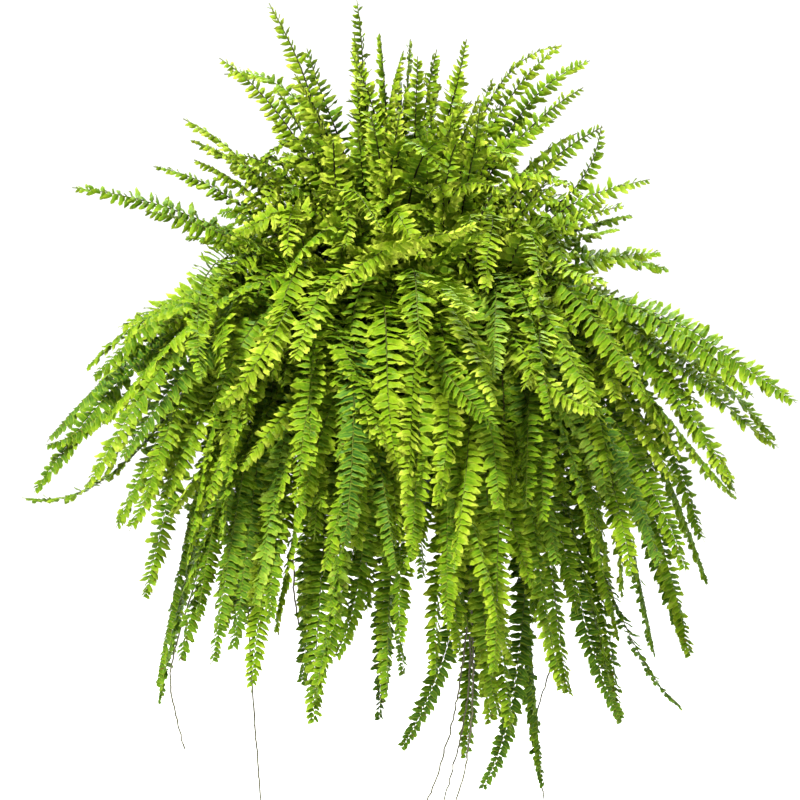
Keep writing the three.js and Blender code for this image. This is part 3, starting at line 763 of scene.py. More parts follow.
def leaflet_colour(tree, along, from_rib, tone, luck, cool, on_frond, mottle):
    """Green by tone, paler to the tip, the margin and the midrib, with spore dots near the end."""
    shade = maths(tree, "ADD", tone, smooth_range(tree, mottle, 0.3, 0.7, -0.09, 0.09))
    shade = maths(tree, "ADD", shade, smooth_range(tree, luck, 0.0, 1.0, -0.10, 0.08))
    shade = maths(tree, "ADD", shade, smooth_range(tree, along, 0.1, 1.0, -0.14, 0.17))
    lime, emerald = (colour_steps(tree, shade, steps) for steps in (LIME, EMERALD))
    base = blend_colours(tree, cool, lime, emerald)
    margin = smooth_range(tree, from_rib, 0.55, 1.0)
    edge = maths(tree, "MAXIMUM", margin, smooth_range(tree, along, 0.8, 1.0))
    base = blend_colours(tree, maths(tree, "MULTIPLY", edge, 0.4), base, EDGE_COLOUR)
    midrib = smooth_range(tree, from_rib, 0.0, 0.25, 0.35, 0.0)
    base = blend_colours(tree, midrib, base, MIDRIB_COLOUR)
    dots = smooth_range(tree, grain(tree, 260.0, 2.0), 0.62, 0.70)
    ripe = smooth_range(tree, on_frond, 0.6, 1.0, 0.05, 0.8)
    return blend_colours(tree, maths(tree, "MULTIPLY", dots, ripe), base, SPORE_COLOUR)


def leaflet_veins(tree, along, from_rib):
    """Slanting side veins as waves from -1 to 1."""
    rise = maths(tree, "MULTIPLY", along, VEINS)
    veins = maths(tree, "SUBTRACT", rise, maths(tree, "MULTIPLY", from_rib, VEIN_SLANT))
    return maths(tree, "SINE", maths(tree, "MULTIPLY", veins, VEIN_TURN))


def leaflet_material():
    material, tree, shader = new_material("fern_leaflet")
    along, across, tone = stored_facts(tree, "leaf")
    on_frond, luck, cool = stored_facts(tree, "frond")
    from_rib = maths(tree, "ABSOLUTE", across)
    mottle = grain(tree, 90.0, 4.0)
    base = leaflet_colour(tree, along, from_rib, tone, luck, cool, on_frond, mottle)
    rough = smooth_range(tree, mottle, 0.3, 0.7, 0.28, 0.42)
    fill(tree, shader, ("Base Color", base), ("Roughness", rough), ("Specular IOR Level", 0.05))
    veins = leaflet_veins(tree, along, from_rib)
    normal = raise_surface(tree, shader, maths(tree, "ADD", veins, mottle), 0.3, 0.0004)
    glow = blend_colours(tree, 0.4, base, THROUGH_COLOUR)
    through = add_node(tree, "ShaderNodeBsdfTranslucent", ("Color", glow), ("Normal", normal))
    mix = add_node(tree, "ShaderNodeMixShader", (0, THROUGH_SHARE))
    fill(tree, mix, (1, shader.outputs[0]), (2, through.outputs[0]))
    fill(tree, tree.nodes["Material Output"], ("Surface", mix.outputs[0]))
    return material


# %% Rib and scale materials
RIB_STEPS = (
    (0.0, (0.030, 0.016, 0.006)),
    (0.3, (0.036, 0.030, 0.007)),
    (0.6, (0.045, 0.062, 0.008)),
    (1.0, (0.110, 0.150, 0.016)),
)
UPRIGHT_RIB_COLOUR = (0.012, 0.010, 0.004)
SCALE_STEPS = (
    (0.3, (0.045, 0.022, 0.010)),
    (0.5, (0.130, 0.070, 0.030)),
    (0.7, (0.260, 0.160, 0.075)),
)


def rib_material():
    """Brown and downy at the foot, green further up, and near black on upright fronds."""
    material, tree, shader = new_material("fern_rib")
    share, upright, _ = stored_facts(tree, "frond")
    fibre = grain(tree, 600.0, 3.0)
    place = maths(tree, "ADD", share, smooth_range(tree, fibre, 0.3, 0.7, -0.08, 0.08))
    dark = maths(tree, "MULTIPLY", upright, smooth_range(tree, place, 0.7, 1.0, 1.0, 0.5))
    green = colour_steps(tree, place, RIB_STEPS)
    colour = blend_colours(tree, dark, green, UPRIGHT_RIB_COLOUR)
    fill(tree, shader, ("Base Color", colour), ("Roughness", 0.7), ("Specular IOR Level", 0.08))
    raise_surface(tree, shader, fibre, 0.4, 0.0004)
    return material


def dry_skin_material(name, waves, detail, steps, roughness, strength, depth):
    """A dry skin, whose one grain gives both its colours and its bumps."""
    material, tree, shader = new_material(name)
    skin = grain(tree, waves, detail)
    fill(tree, shader, ("Base Color", colour_steps(tree, skin, steps)), ("Roughness", roughness))
    raise_surface(tree, shader, skin, strength, depth)
    return material


frond_materials = [
    leaflet_material(),
    rib_material(),
    dry_skin_material("crown_scale", 420.0, 3.0, SCALE_STEPS, 0.8, 0.5, 0.0006),
]
LEAFLET_PAINT, RIB_PAINT, SCALE_PAINT = range(3)
print("frond materials:", [m.name for m in frond_materials])

# %% [markdown]
# ## Dressing a frond
# Leaflets stand alternately on both sides of the rib, close enough to touch. They start short on
# the stalk, reach full length a quarter of the way up and taper to a blunt tip, where they also
# lean further forward. An upright frond is slimmer and ends in a point.

# %% Leaflet rows
FINE_LENGTH = 20.5
FOOT_SHARE = 0.10
FOOT_WIDTH = 0.35
FOOT_RUN = 0.16
LAST_SHARE = 0.985
# How much of its width a frond loses to its tip, and the power that it is lost by
BLUNT_TIP = (0.70, 4)
POINTED_TIP = (0.79, 3.2)
ROW_PITCH = 8.0
TIP_PITCH = 4.6
SWAY = 3.0
looks = np.random.RandomState(7)


def leaflet_shares(length, spread):
    """Shares of the length where leaflets stand, alternately left and right, closer at the tip."""
    shares, share = [], FOOT_SHARE
    while share < LAST_SHARE:
        shares.append(share)
        share += 0.5 * spread * between((ROW_PITCH, TIP_PITCH), share**3) / length
    return np.array(shares)


def frond_width(shares, upright):
    """Hanging fronds stay wide to a blunt tip, and upright ones taper over most of their length."""
    foot = np.clip(FOOT_WIDTH + (1 - FOOT_WIDTH) * (shares - FOOT_SHARE) / FOOT_RUN, 0, 1)
    q = np.clip((shares - STALK_SHARE) / (1 - STALK_SHARE), 0, 1)
    blunt, pointed = (1 - loss * q**power for loss, power in (BLUNT_TIP, POINTED_TIP))
    return foot * (blunt + (pointed - blunt) * upright)


def wobbled(shape):
    """The frond's line with a slight sideways sway, which is nothing at its root."""
    phase, waves = looks.uniform(0, 6.28), looks.uniform(1.2, 2.2)
    sway = SWAY * looks.uniform(0.4, 1.0)

    def place(shares):
        point, along, face, side = stand(shape, shares)
        swing = sway * shares * np.sin(waves * 2 * math.pi * shares + phase)
        return point + swing[:, None] * side, along, face, side

    return place


# %% How each leaflet is held
def leaflet_angles(shares, upright, foot, standing=0, tip=0, power=1, scatter=(0, 0)):
    """An angle for each leaflet: degrees at the foot, more on upright fronds and to the tip."""
    loose = scatter[0] + scatter[1] * upright
    middle = foot + standing * upright + tip * shares**power
    return np.radians(middle + looks.normal(0, loose, len(shares)))


def leaflet_directions(shares, upright, along, face, side):
    """Directions out, across and up of each leaflet, swept forward, drooped and twisted."""
    sweep = leaflet_angles(shares, upright, foot=2, standing=-3, tip=34, power=5, scatter=(7, 3))
    hang = looks.uniform(-10, 24)
    droop = leaflet_angles(shares, upright, foot=hang, tip=14, power=3, scatter=(10, 4))
    turn = looks.uniform(14, 30)
    twist = leaflet_angles(shares, upright, foot=turn, standing=10, scatter=(12, 4))
    hand = np.where(np.arange(len(shares)) % 2 == 0, 1.0, -1.0)
    out = swung(hand[:, None] * side, along, sweep)
    out = swung(out, -face, droop)
    across = unit(np.cross(np.cross(out, along), out))
    up = np.cross(out, across)
    up = up * np.sign(np.einsum("ij,ij->i", up, face))[:, None]
    return out, swung(across, up, twist), swung(up, -across, twist)


# %% Laying copies along a frond
LONG_LEAFLET = 15
MIDDLE_LEAFLET = 8
# Short leaflets are broader: below this length, over so many millimetres, by up to this share
BROADER_BELOW, BROADER_SPAN, BROADER_BY = 16, 12, 0.9
UPRIGHT_SLIMMER = 0.12
TONE_RISE = 0.22
# A frond begins to be upright when its tip stands so far above the soil, and is fully so when it
# stands this much higher
UPRIGHT_FROM, UPRIGHT_SPAN = 40, 120
RIB_GIRTH, RIB_TAPER = 1.25, 0.72
UPRIGHT_GIRTH, UPRIGHT_TAPER = 0.3, 0.12


def axes_of(template):
    """The template's x, y and z, each ready to be spread over many copies."""
    return (template["points"][:, axis][None, :, None] for axis in range(3))


def point_facts(copies, per_copy, *values):
    """Three shader facts for each point of each copy."""
    facts = np.empty((copies, per_copy, 3))
    for axis, value in enumerate(values):
        facts[..., axis] = value
    return facts


def gather_leaflets(pile, template, rows, tone, cool, mirrored):
    x, y, z = axes_of(template)
    wide = rows["widen"][:, None, None]
    spots = rows["origin"][:, None] + rows["reach"][:, None, None] * (
        x * rows["out"][:, None] + y * wide * rows["across"][:, None] + z * rows["up"][:, None]
    )
    shares = rows["share"][:, None]
    grid = spots.shape[:2]
    lighter = tone + TONE_RISE * (shares - 0.6)
    leaf = point_facts(*grid, template["along"], template["across"], lighter)
    frond = point_facts(*grid, shares, rows["luck"][:, None], cool)
    gather(pile, template, spots, LEAFLET_PAINT, leaf, frond, mirrored)


def add_rib(pile, place, size, upright):
    x, y, run = rib_rod["points"].T
    point, _, face, side = place(run)
    thickest = size * (RIB_GIRTH + UPRIGHT_GIRTH * upright)
    girth = thickest * (1 - (RIB_TAPER - UPRIGHT_TAPER * upright) * run)
    spots = point + (girth * x)[:, None] * side + (girth * y)[:, None] * face
    gather(pile, rib_rod, spots[None], RIB_PAINT, frond=point_facts(1, len(run), run, upright, 0))


def dress_frond(pile, shape, tone, cool=0.0, size=1.0, spread=1.0, rings=LEAFLET_RINGS):
    """Lays leaflets and a rib along a frond's line, and says how many leaflets it has."""
    place = wobbled(shape)
    shares = leaflet_shares(frond_length(shape), spread)
    count = len(shares)
    point, along, face, side = place(shares)
    rise = shape["points"][-1][2] - SOIL_TOP
    upright = float(np.clip((rise - UPRIGHT_FROM) / UPRIGHT_SPAN, 0, 1))
    reach = size * FINE_LENGTH * frond_width(shares, upright) * looks.uniform(0.9, 1.08, count)
    out, across, up = leaflet_directions(shares, upright, along, face, side)
    rib_height = 0.5 * (1 - 0.65 * shares)
    broader = 1 + BROADER_BY * np.clip((BROADER_BELOW - reach) / BROADER_SPAN, 0, 1)
    rows = {
        "share": shares,
        "reach": reach,
        "origin": point + rib_height[:, None] * face + 0.4 * out,
        "out": out,
        "across": across,
        "up": up,
        "widen": broader * (1 - UPRIGHT_SLIMMER * upright),
        "luck": looks.uniform(0, 1, count),
    }
    kind = looks.randint(0, VARIANTS, count)
    level = np.where(reach > MIDDLE_LEAFLET, rings[1], rings[2])
    level = np.where(reach > LONG_LEAFLET, rings[0], level)
    left_handed = np.einsum("ij,ij->i", np.cross(out, across), up) < 0
    choices = itertools.product(sorted(set(rings)), range(VARIANTS), (False, True))
    for ring_count, variant, mirrored in choices:
        alike = (level == ring_count) & (kind == variant) & (left_handed == mirrored)
        if alike.any():
            some = {key: values[alike] for key, values in rows.items()}
            gather_leaflets(pile, leaflets[ring_count][variant], some, tone, cool, mirrored)
    add_rib(pile, place, size, upright)
    return count


# %% [markdown]
# ## The crown of each tuft
# Fronds spring from a short crown wrapped in brown papery scales. The crown is a tapered
# many-sided stub, and each scale is a narrow three-sided spike that leans out from it.


# %% Crown and scales
CROWN_SIDES = 10
CROWN_GIRTH = 0.85
CROWN_BUMPS = 0.12
CROWN_SUNK = 10
SCALES = 26


def stub_template():
    """A tapered stub with a narrower raised top."""
    shape = new_cone(CROWN_SIDES, 0.92, 0.62)
    cut_across(shape, 2)
    top = max(shape.faces, key=lambda f: f.calc_center_median().z)
    bmesh.ops.inset_region(shape, faces=[top], thickness=0.2, depth=0.08)
    return read_template(shape)


def scale_template():
    """A spike of three sides on z = 0."""
    shape = new_cone(3, 0.16, 0.0)
    bmesh.ops.translate(shape, vec=(0, 0, 0.5), verts=shape.verts)
    return read_template(shape)


stub = stub_template()
scale_spike = scale_template()


def add_crown(pile, place):
    x, y, z = stub["points"].T
    girth = CROWN_GIRTH * TUFT_RADIUS
    bumps = 1 + CROWN_BUMPS * looks.uniform(-1, 1, len(x))
    height = TUFT_PROUD + CROWN_SUNK
    rise = SOIL_TOP - CROWN_SUNK + height * (z + 0.5)
    spots = np.stack((place[0] + girth * x * bumps, place[1] + girth * y * bumps, rise), axis=1)
    gather(pile, stub, spots[None], SCALE_PAINT)
    angles = looks.uniform(0, 2 * math.pi, SCALES)
    lean = looks.uniform(0.15, 0.7, SCALES)
    foot = np.stack((np.cos(angles), np.sin(angles), np.zeros(SCALES)), axis=1)
    spike = unit(foot * lean[:, None] + np.array((0, 0, 1)))
    wide = unit(np.cross(spike, foot + np.array((0, 0, 0.01))))
    thick = np.cross(spike, wide)
    length = looks.uniform(5, 11, SCALES)
    start = place + foot * looks.uniform(3.2, 5.4, SCALES)[:, None]
    start[:, 2] = SOIL_TOP + looks.uniform(-2, 5, SCALES)
    x, y, z = axes_of(scale_spike)
    spots = start[:, None] + length[:, None, None] * (
        z * spike[:, None] + x * wide[:, None] + 0.3 * y * thick[:, None]
    )
    gather(pile, scale_spike, spots, SCALE_PAINT)


print("crown:", template_triangles(stub) + SCALES * template_triangles(scale_spike), "triangles")

# %% [markdown]
# ## More fronds than the solids have
# The solids can't cross, so they leave the plant thinner than the real one. Beside each solid
# frond that doesn't hang in front, a younger, shorter one leaves the same crown. More young
# fronds grow in sectors, most of them over the front and round the hanger, and single ones stand
# where the real plant's outline and face show them.


# %% Tone and line of a frond
# The tone paints light and shade: deepest for a tip low at the back, paler to the top and front
LOWEST_TIP, TIP_HEIGHTS = -650, 700
BACK_TIP, TIP_DEPTHS = 60, 350
DEEPEST_TONE, TOP_PAINTED_LIGHT, FRONT_PAINTED_LIGHT = 0.38, 0.30, 0.16
TONE_LUCK = (-0.12, 0.14)


def painted_light_tone(shape):
    """Painted light and shade: lime high up and in front, deeper green low and at the back."""
    tip = shape["points"][-1]
    height = np.clip((tip[2] - LOWEST_TIP) / TIP_HEIGHTS, 0, 1)
    front = np.clip((BACK_TIP - tip[1]) / TIP_DEPTHS, 0, 1)
    luck = looks.uniform(*TONE_LUCK)
    return float(DEEPEST_TONE + TOP_PAINTED_LIGHT * height + FRONT_PAINTED_LIGHT * front + luck)


def coolness(chance, cool, others):
    """How far a frond leans from lime to emerald: a few by much, the others by little."""
    return looks.uniform(*(cool if looks.uniform() < chance else others))


def bent_line(points, roll):
    points = np.array(points, float)
    out = points[-1] - points[0]
    out[2] = 0
    return {"points": points, "out": unit(out), "roll": math.radians(roll)}


def turned(vector, degrees):
    return np.array(Matrix.Rotation(math.radians(degrees), 3, "Z")) @ vector


def young_shape(shape, order):
    """A shorter frond that leaves the same crown to one side and ends higher."""
    root, elbow, tip = shape["points"]
    turn = looks.uniform(6, 30) * (1 if order % 2 else -1)
    shrink = looks.uniform(0.5, 0.85)
    hanging = tip[2] < SOIL_TOP - 60
    elbow = root + shrink * turned(elbow - root, turn)
    tip = root + shrink * turned(tip - root, turn + looks.uniform(-25, 25))
    elbow[2] += looks.uniform(0, 30)
    tip[2] += looks.uniform(0, 60) if hanging else looks.uniform(-20, 10)
    return bent_line((root, elbow, tip), math.degrees(shape["roll"]) + looks.uniform(-25, 25))


# %% The young fronds' sectors and the single fronds
YOUNG_SIZE = 0.92
# How many; ranges of reach, rise and elbow height in millimetres and of the elbow's share of the
# reach; sector and greatest sideways bend in degrees; tone, painted light and shade that is paler
# for the high sectors and darker for the low and back ones
YOUNG_FRONDS = (
    (22, (110, 215), (50, 170), (165, 245), (0.35, 0.65), (190, 350), 45, 0.74),
    (18, (150, 250), (-30, 80), (90, 200), (0.35, 0.6), (192, 348), 42, 0.74),
    (32, (235, 315), (-130, 0), (70, 190), (0.4, 0.65), (198, 342), 45, 0.66),
    (32, (225, 300), (-240, -120), (80, 190), (0.4, 0.6), (202, 338), 42, 0.60),
    (14, (215, 280), (-320, -230), (120, 180), (0.4, 0.55), (215, 325), 36, 0.54),
    (9, (50, 125), (232, 300), (160, 205), (0.12, 0.28), (205, 335), 30, 0.70),
    (12, (25, 90), (195, 262), (140, 200), (0.25, 0.5), (180, 360), 40, 0.70),
    (18, (100, 200), (110, 200), (190, 270), (0.25, 0.5), (150, 390), 45, 0.70),
    (14, (110, 220), (40, 160), (100, 150), (0.3, 0.6), (10, 170), 30, 0.58),
    (20, (180, 270), (-260, 0), (110, 180), (0.35, 0.6), (5, 175), 35, 0.54),
)
# Single ones: angle of the root, then over the rim, bend and tip, then roll, tone (painted light
# and shade), cool and size
SINGLE_FRONDS = (
    (252, (-66, -204, -140), (-25, -275, -291), (-49, -285, -405), 0, 0.5, 0.55, 1),
    (274, (15, -215, -130), (20, -275, -300), (12, -270, -415), 10, 0.6, 0.05, 0.95),
    (281, (40, -210, -120), (52, -265, -270), (34, -275, -372), -15, 0.7, 0, 0.95),
    (266, (-10, -215, -130), (-20, -270, -250), (2, -280, -345), 15, 0.74, 0, 0.95),
    (262, (-26, -188, -110), (18, -260, -142), (67, -255, -117), -20, 0.86, 0.0, 1),
    (300, (100, -173, -150), (89, -250, -259), (179, -225, -292), 10, 0.8, 0.1, 1),
    (240, (-100, -173, -140), (-88, -270, -221), (-164, -250, -281), -10, 0.82, 0.05, 1),
    (300, (93, -160, -165), (79, -190, -511), (0, -150, -631), -20, 0.42, 0.3, 0.8),
    (310, (116, -138, -160), (151, -170, -565), (75, -140, -672), 25, 0.36, 0.3, 0.8),
    (305, (98, -139, -150), (114, -150, -570), (141, -120, -678), -30, 0.34, 0.3, 0.8),
    (318, (130, -117, -165), (152, -150, -482), (214, -130, -613), 25, 0.42, 0.3, 0.8),
    (325, (135, -95, -165), (183, -120, -538), (278, -90, -605), -35, 0.36, 0.3, 0.8),
    (288, (66, -204, -150), (64, -215, -486), (95, -200, -587), 10, 0.62, 0.1, 0.9),
    (303, (112, -172, -150), (120, -205, -460), (154, -190, -564), -15, 0.6, 0.1, 0.9),
    (292, (62, -153, -160), (81, -150, -560), (64, -120, -648), 20, 0.46, 0.1, 0.9),
    (268, (-6, -165, -160), (-17, -150, -482), (-18, -130, -610), 40, 0.24, 0.3, 0.8),
    (240, (-85, -147, -160), (-85, -150, -482), (-93, -130, -573), -20, 0.44, 0.3, 0.8),
    (205, (-154, -72, -160), (-211, -70, -490), (-242, -40, -615), 25, 0.44, 0.3, 0.8),
    (290, (80, -221, -145), (64, -240, -434), (107, -225, -526), -10, 0.66, 0.1, 0.9),
    (345, (169, -45, -160), (258, -40, -467), (292, -20, -574), 20, 0.4, 0.3, 0.8),
    (197, (-182, -56, -150), (-228, -60, -431), (-371, -60, -400), 20, 0.56, 0.1, 0.9),
    (193, (-180, -42, -160), (-277, -30, -344), (-351, -30, -352), -20, 0.5, 0.1, 0.9),
    (262, (-28, -198, -150), (-11, -200, -447), (-64, -190, -531), 10, 0.5, 0.1, 0.9),
    (222, (-141, -127, -150), (-152, -140, -446), (-171, -130, -514), -10, 0.5, 0.1, 0.9),
    (266, (-12, -90, -150), (-26, -85, -50), (3, -70, 34), 8, 0.70, 0.03, 0.92),
    (279, (24, -90, -150), (40, -80, -60), (24, -60, 12), -12, 0.64, 0.05, 0.92),
    (350, (172, -30, -150), (291, -70, -297), (370, -60, -350), 20, 0.62, 0.1, 0.9),
    (342, (166, -54, -155), (265, -90, -343), (328, -80, -398), -15, 0.58, 0.1, 0.9),
    (15, (60, 16, -120), (188, 0, -147), (199, -10, -39), -35, 0.64, 0.1, 0.85),
    (40, (46, 39, -80), (88, -10, 34), (158, -10, 38), 40, 0.72, 0.0, 0.8),
    (325, (143, -100, -155), (216, -130, -361), (213, -120, -489), -10, 0.52, 0.1, 0.9),
)


# %% A root and a line for each of them
INNER_RING_RISE = 150
SPACING = 0.25


def nearest_tuft(angle, rise):
    """The tuft nearest that way round, where few young fronds grow so far."""
    ring = 0 if rise > INNER_RING_RISE else 1

    def cost(tuft):
        way = math.atan2(tuft["place"][1], tuft["place"][0]) - angle
        apart = abs(math.atan2(math.sin(way), math.cos(way)))
        return apart + SPACING * len(tuft["young"])

    return min((tuft for tuft in tufts if tuft["ring"] in (ring, ring + 1)), key=cost)


def crown_root(tuft, angle):
    root = tuft["place"] + on_circle(FROND_ROOT_CIRCLE, angle)
    root[2] = SOIL_TOP + TUFT_PROUD - FROND_ROOT_DEPTH
    return root


for count, reach, rise, height, elbow_share, sector, bend, tone in YOUNG_FRONDS:
    for i in range(count):
        angle = math.radians(between(sector, (i + looks.uniform()) / count))
        up = looks.uniform(*rise)
        tuft = nearest_tuft(angle, up)
        root = crown_root(tuft, angle)
        tip = on_circle(looks.uniform(*reach), angle, SOIL_TOP + up)
        elbow = root + looks.uniform(*elbow_share) * (tip - root)
        elbow[2] = SOIL_TOP + max(looks.uniform(*height), 0.6 * up)
        lean = looks.uniform(-bend, bend)
        elbow[:2] = turned(elbow, -0.4 * lean)[:2]
        tip[:2] = turned(tip, 0.6 * lean)[:2]
        shape = bent_line((root, elbow, tip), looks.uniform(-55, 55))
        cool = coolness(0.07, (0.3, 0.7), (0, 0.1))
        tuft["young"].append((shape, tone + looks.uniform(-0.14, 0.14), cool, YOUNG_SIZE))
for degrees, over_rim, bend, tip, roll, tone, cool, size in SINGLE_FRONDS:
    tuft = nearest_tuft(math.radians(degrees), 0)
    root = crown_root(tuft, math.radians(degrees))
    tuft["young"].append((bent_line((root, over_rim, bend, tip), roll), tone, cool, size))
print("young and single fronds:", sum(len(tuft["young"]) for tuft in tufts))

# %% [markdown]
# ## The tufts
# All fronds of a tuft, its crown and its scales are gathered into one mesh, which takes the
# place of the solid tuft. The ribs are shaded smooth, and the leaflets flat, so that their folds
# stay crisp.

# %% Building the tufts
BESIDE_BEHIND = -90
BESIDE_RINGS = (5, 4, 4)


def hand_over(piece, node):
    """Ties a piece to the part's one body and puts it in the place of its node."""
    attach(piece, "root")
    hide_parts(node)


total = 0
leaflet_count = 0
for number, tuft in enumerate(tufts, start=1):
    pile = new_pile()
    add_crown(pile, tuft["place"])
    for order, shape in enumerate(tuft["fronds"]):
        tone = painted_light_tone(shape)
        cool = coolness(0.12, (0.3, 0.6), (0, 0.15))
        leaflet_count += dress_frond(pile, shape, tone, cool)
        if shape["points"][-1][1] > BESIDE_BEHIND:
            # The frond beside takes this frond's painted light and shade, a little darker
            beside = young_shape(shape, order)
            leaflet_count += dress_frond(
                pile, beside, tone - 0.08, size=0.9, spread=1.2, rings=BESIDE_RINGS
            )
    for shape, tone, cool, size in tuft["young"]:
        leaflet_count += dress_frond(pile, shape, tone, cool, size)
    piece = piece_from(pile, f"fern_tuft_{number}", frond_materials, smooth_paints=(RIB_PAINT,))
    hand_over(piece, f"tuft_{number}")
    total += triangles_of(piece)
print("leaflets:", leaflet_count, "triangles in tufts:", total)

# %% [markdown]
# ## Pot
# The pot is a moulded plastic bowl with a rolled rim, so its wall is one profile spun round the
# middle. The lugs that carry the strands are joined on, and the drain holes are cut through the
# floor.

# %% Spun shapes
RIM_TOP = -236
RIM_RADIUS = 128
RIM_DEPTH = 10
MOUTH_RADIUS = 119
BASE_RADIUS = 88
POT_HEIGHT = 168
POT_WALL = 2.4
POT_FLOOR = 4


def spun(name, profile, steps):
    """A closed shape of revolution about Z from [radius, height] points, in millimetres."""
    shape = spin_round([(radius * MM, height * MM) for radius, height in profile], steps)
    bmesh.ops.recalc_face_normals(shape, faces=shape.faces)
    return object_from(shape, name)


def apply_modifiers(piece):
    graph = bpy.context.evaluated_depsgraph_get()
    mesh = bpy.data.meshes.new_from_object(piece.evaluated_get(graph))
    old = piece.data
    piece.modifiers.clear()
    piece.data = mesh
    bpy.data.meshes.remove(old)
    mesh.name = piece.name


def combine(piece, other, operation):
    """Joins or cuts with another object, which is then used up."""
    change = piece.modifiers.new("combine", "BOOLEAN")
    change.operation = operation
    change.object = other
    change.solver = "EXACT"
    apply_modifiers(piece)
    mesh = other.data
    bpy.data.objects.remove(other)
    bpy.data.meshes.remove(mesh)


def short_rod(name, radius, low, high, place, sides=28, edge=0.6):
    """An upright rod, its ends rounded unless the edge is 0, in millimetres."""
    shape = new_cone(sides, radius * MM, radius * MM, (high - low) * MM)
    if edge:
        rims = [e for e in shape.edges if abs(e.verts[0].co.z - e.verts[1].co.z) < 1e-7]
        bmesh.ops.bevel(
            shape,
            geom=rims,
            offset=edge * MM,
            affect="EDGES",
            segments=2,
            profile=0.5,
            material=-1,
        )
    centre = (place[0] * MM, place[1] * MM, 0.5 * (low + high) * MM)
    bmesh.ops.translate(shape, vec=centre, verts=shape.verts)
    return object_from(shape, name)


# %% Pot body
STRANDS = 3
LUG_CIRCLE = 134
LUG_RADIUS = 8
LUG_THICKNESS = 5
LUG_HOLE = 3.7
DRAIN_HOLES = 4
DRAIN_CIRCLE = 56
DRAIN_RADIUS = 6
pot_bottom = RIM_TOP - POT_HEIGHT


def strand_angle(index):
    return math.radians(90 + 360 * index / STRANDS)


def inner_radius(z):
    share = (z - pot_bottom) / POT_HEIGHT
    return BASE_RADIUS - POT_WALL + (MOUTH_RADIUS - BASE_RADIUS + POT_WALL) * share


pot_profile = [
    # the base, raised a little inside its foot ring
    (0, pot_bottom + 1.2),
    (66, pot_bottom + 1.2),
    (69, pot_bottom),
    (BASE_RADIUS - 2, pot_bottom),
    (BASE_RADIUS - 0.6, pot_bottom + 0.6),
    (BASE_RADIUS, pot_bottom + 2),
    # the step in the wall
    (BASE_RADIUS + 8.4, pot_bottom + 42),
    (BASE_RADIUS + 8.9, pot_bottom + 43.5),
    (BASE_RADIUS + 9.4, pot_bottom + 46),
    # the rolled rim
    (MOUTH_RADIUS + POT_WALL - 2.5, RIM_TOP - RIM_DEPTH - 12),
    (MOUTH_RADIUS + POT_WALL, RIM_TOP - RIM_DEPTH + 0.6),
    (RIM_RADIUS - 0.8, RIM_TOP - RIM_DEPTH),
    (RIM_RADIUS, RIM_TOP - RIM_DEPTH + 0.8),
    (RIM_RADIUS, RIM_TOP - 2.4),
    (RIM_RADIUS - 0.7, RIM_TOP - 0.7),
    (RIM_RADIUS - 2.4, RIM_TOP),
    (MOUTH_RADIUS + 1.2, RIM_TOP),
    (MOUTH_RADIUS, RIM_TOP - 1.2),
    # the inside
    (inner_radius(pot_bottom + POT_FLOOR) + 0.02, pot_bottom + POT_FLOOR),
    (0, pot_bottom + POT_FLOOR),
]
pot = spun("moulded_pot", pot_profile, 96)
low = RIM_TOP - RIM_DEPTH
high = low + LUG_THICKNESS
for index in range(STRANDS):
    place = on_circle(LUG_CIRCLE, strand_angle(index))
    combine(pot, short_rod("lug", LUG_RADIUS, low, high, place), "UNION")
    lug_hole = short_rod("lug_hole", LUG_HOLE, low - 1, high + 1, place, edge=0)
    combine(pot, lug_hole, "DIFFERENCE")
low, high = pot_bottom - 2, pot_bottom + POT_FLOOR + 1
for index in range(DRAIN_HOLES):
    place = on_circle(DRAIN_CIRCLE, math.radians(45 + 360 * index / DRAIN_HOLES))
    drain_hole = short_rod("drain_hole", DRAIN_RADIUS, low, high, place, edge=0)
    combine(pot, drain_hole, "DIFFERENCE")
print("pot:", triangles_of(pot), "triangles")

# %% Pot material
PLASTIC_STEPS = (
    (0.3, (0.006, 0.020, 0.007)),
    (0.55, (0.010, 0.030, 0.010)),
    (0.75, (0.026, 0.044, 0.020)),
)
FLOW_RINGS = 1400.0
CRISP_ANGLE = math.radians(35)


def plastic_material():
    """Dark green moulded plastic: a fine grain, faint flow rings and dusty, paler patches."""
    material, tree, shader = new_material("dark_green_plastic")
    dust = grain(tree, 14.0, 5.0)
    colour = colour_steps(tree, dust, PLASTIC_STEPS)
    rough = smooth_range(tree, dust, 0.3, 0.75, 0.42, 0.68)
    fill(tree, shader, ("Base Color", colour), ("Roughness", rough), ("Specular IOR Level", 0.25))
    coordinates = tree.nodes.new("ShaderNodeTexCoord")
    split = add_node(tree, "ShaderNodeSeparateXYZ", (0, coordinates.outputs["Object"]))
    rings = maths(tree, "SINE", maths(tree, "MULTIPLY", split.outputs[2], FLOW_RINGS))
    skin = maths(tree, "ADD", maths(tree, "MULTIPLY", rings, 0.35), grain(tree, 900.0, 2.0))
    raise_surface(tree, shader, skin, 0.35, 0.0003)
    return material


def finish_piece(piece, node, material):
    """One material, smooth faces with crisp edges between them, and the node's place."""
    mesh = piece.data
    mesh.materials.clear()
    mesh.materials.append(material)
    mesh.polygons.foreach_set("use_smooth", [True] * len(mesh.polygons))
    mesh.set_sharp_from_angle(angle=CRISP_ANGLE)
    hand_over(piece, node)


plastic = plastic_material()
finish_piece(pot, "pot", plastic)

# %% [markdown]
# ## Soil
# Potting mix is a crumbly surface: dark fibres, bark bits and white perlite. The body is spun
# with many rings on top and then roughened point by point, and crumbs of a few faces each are
# strewn on it.

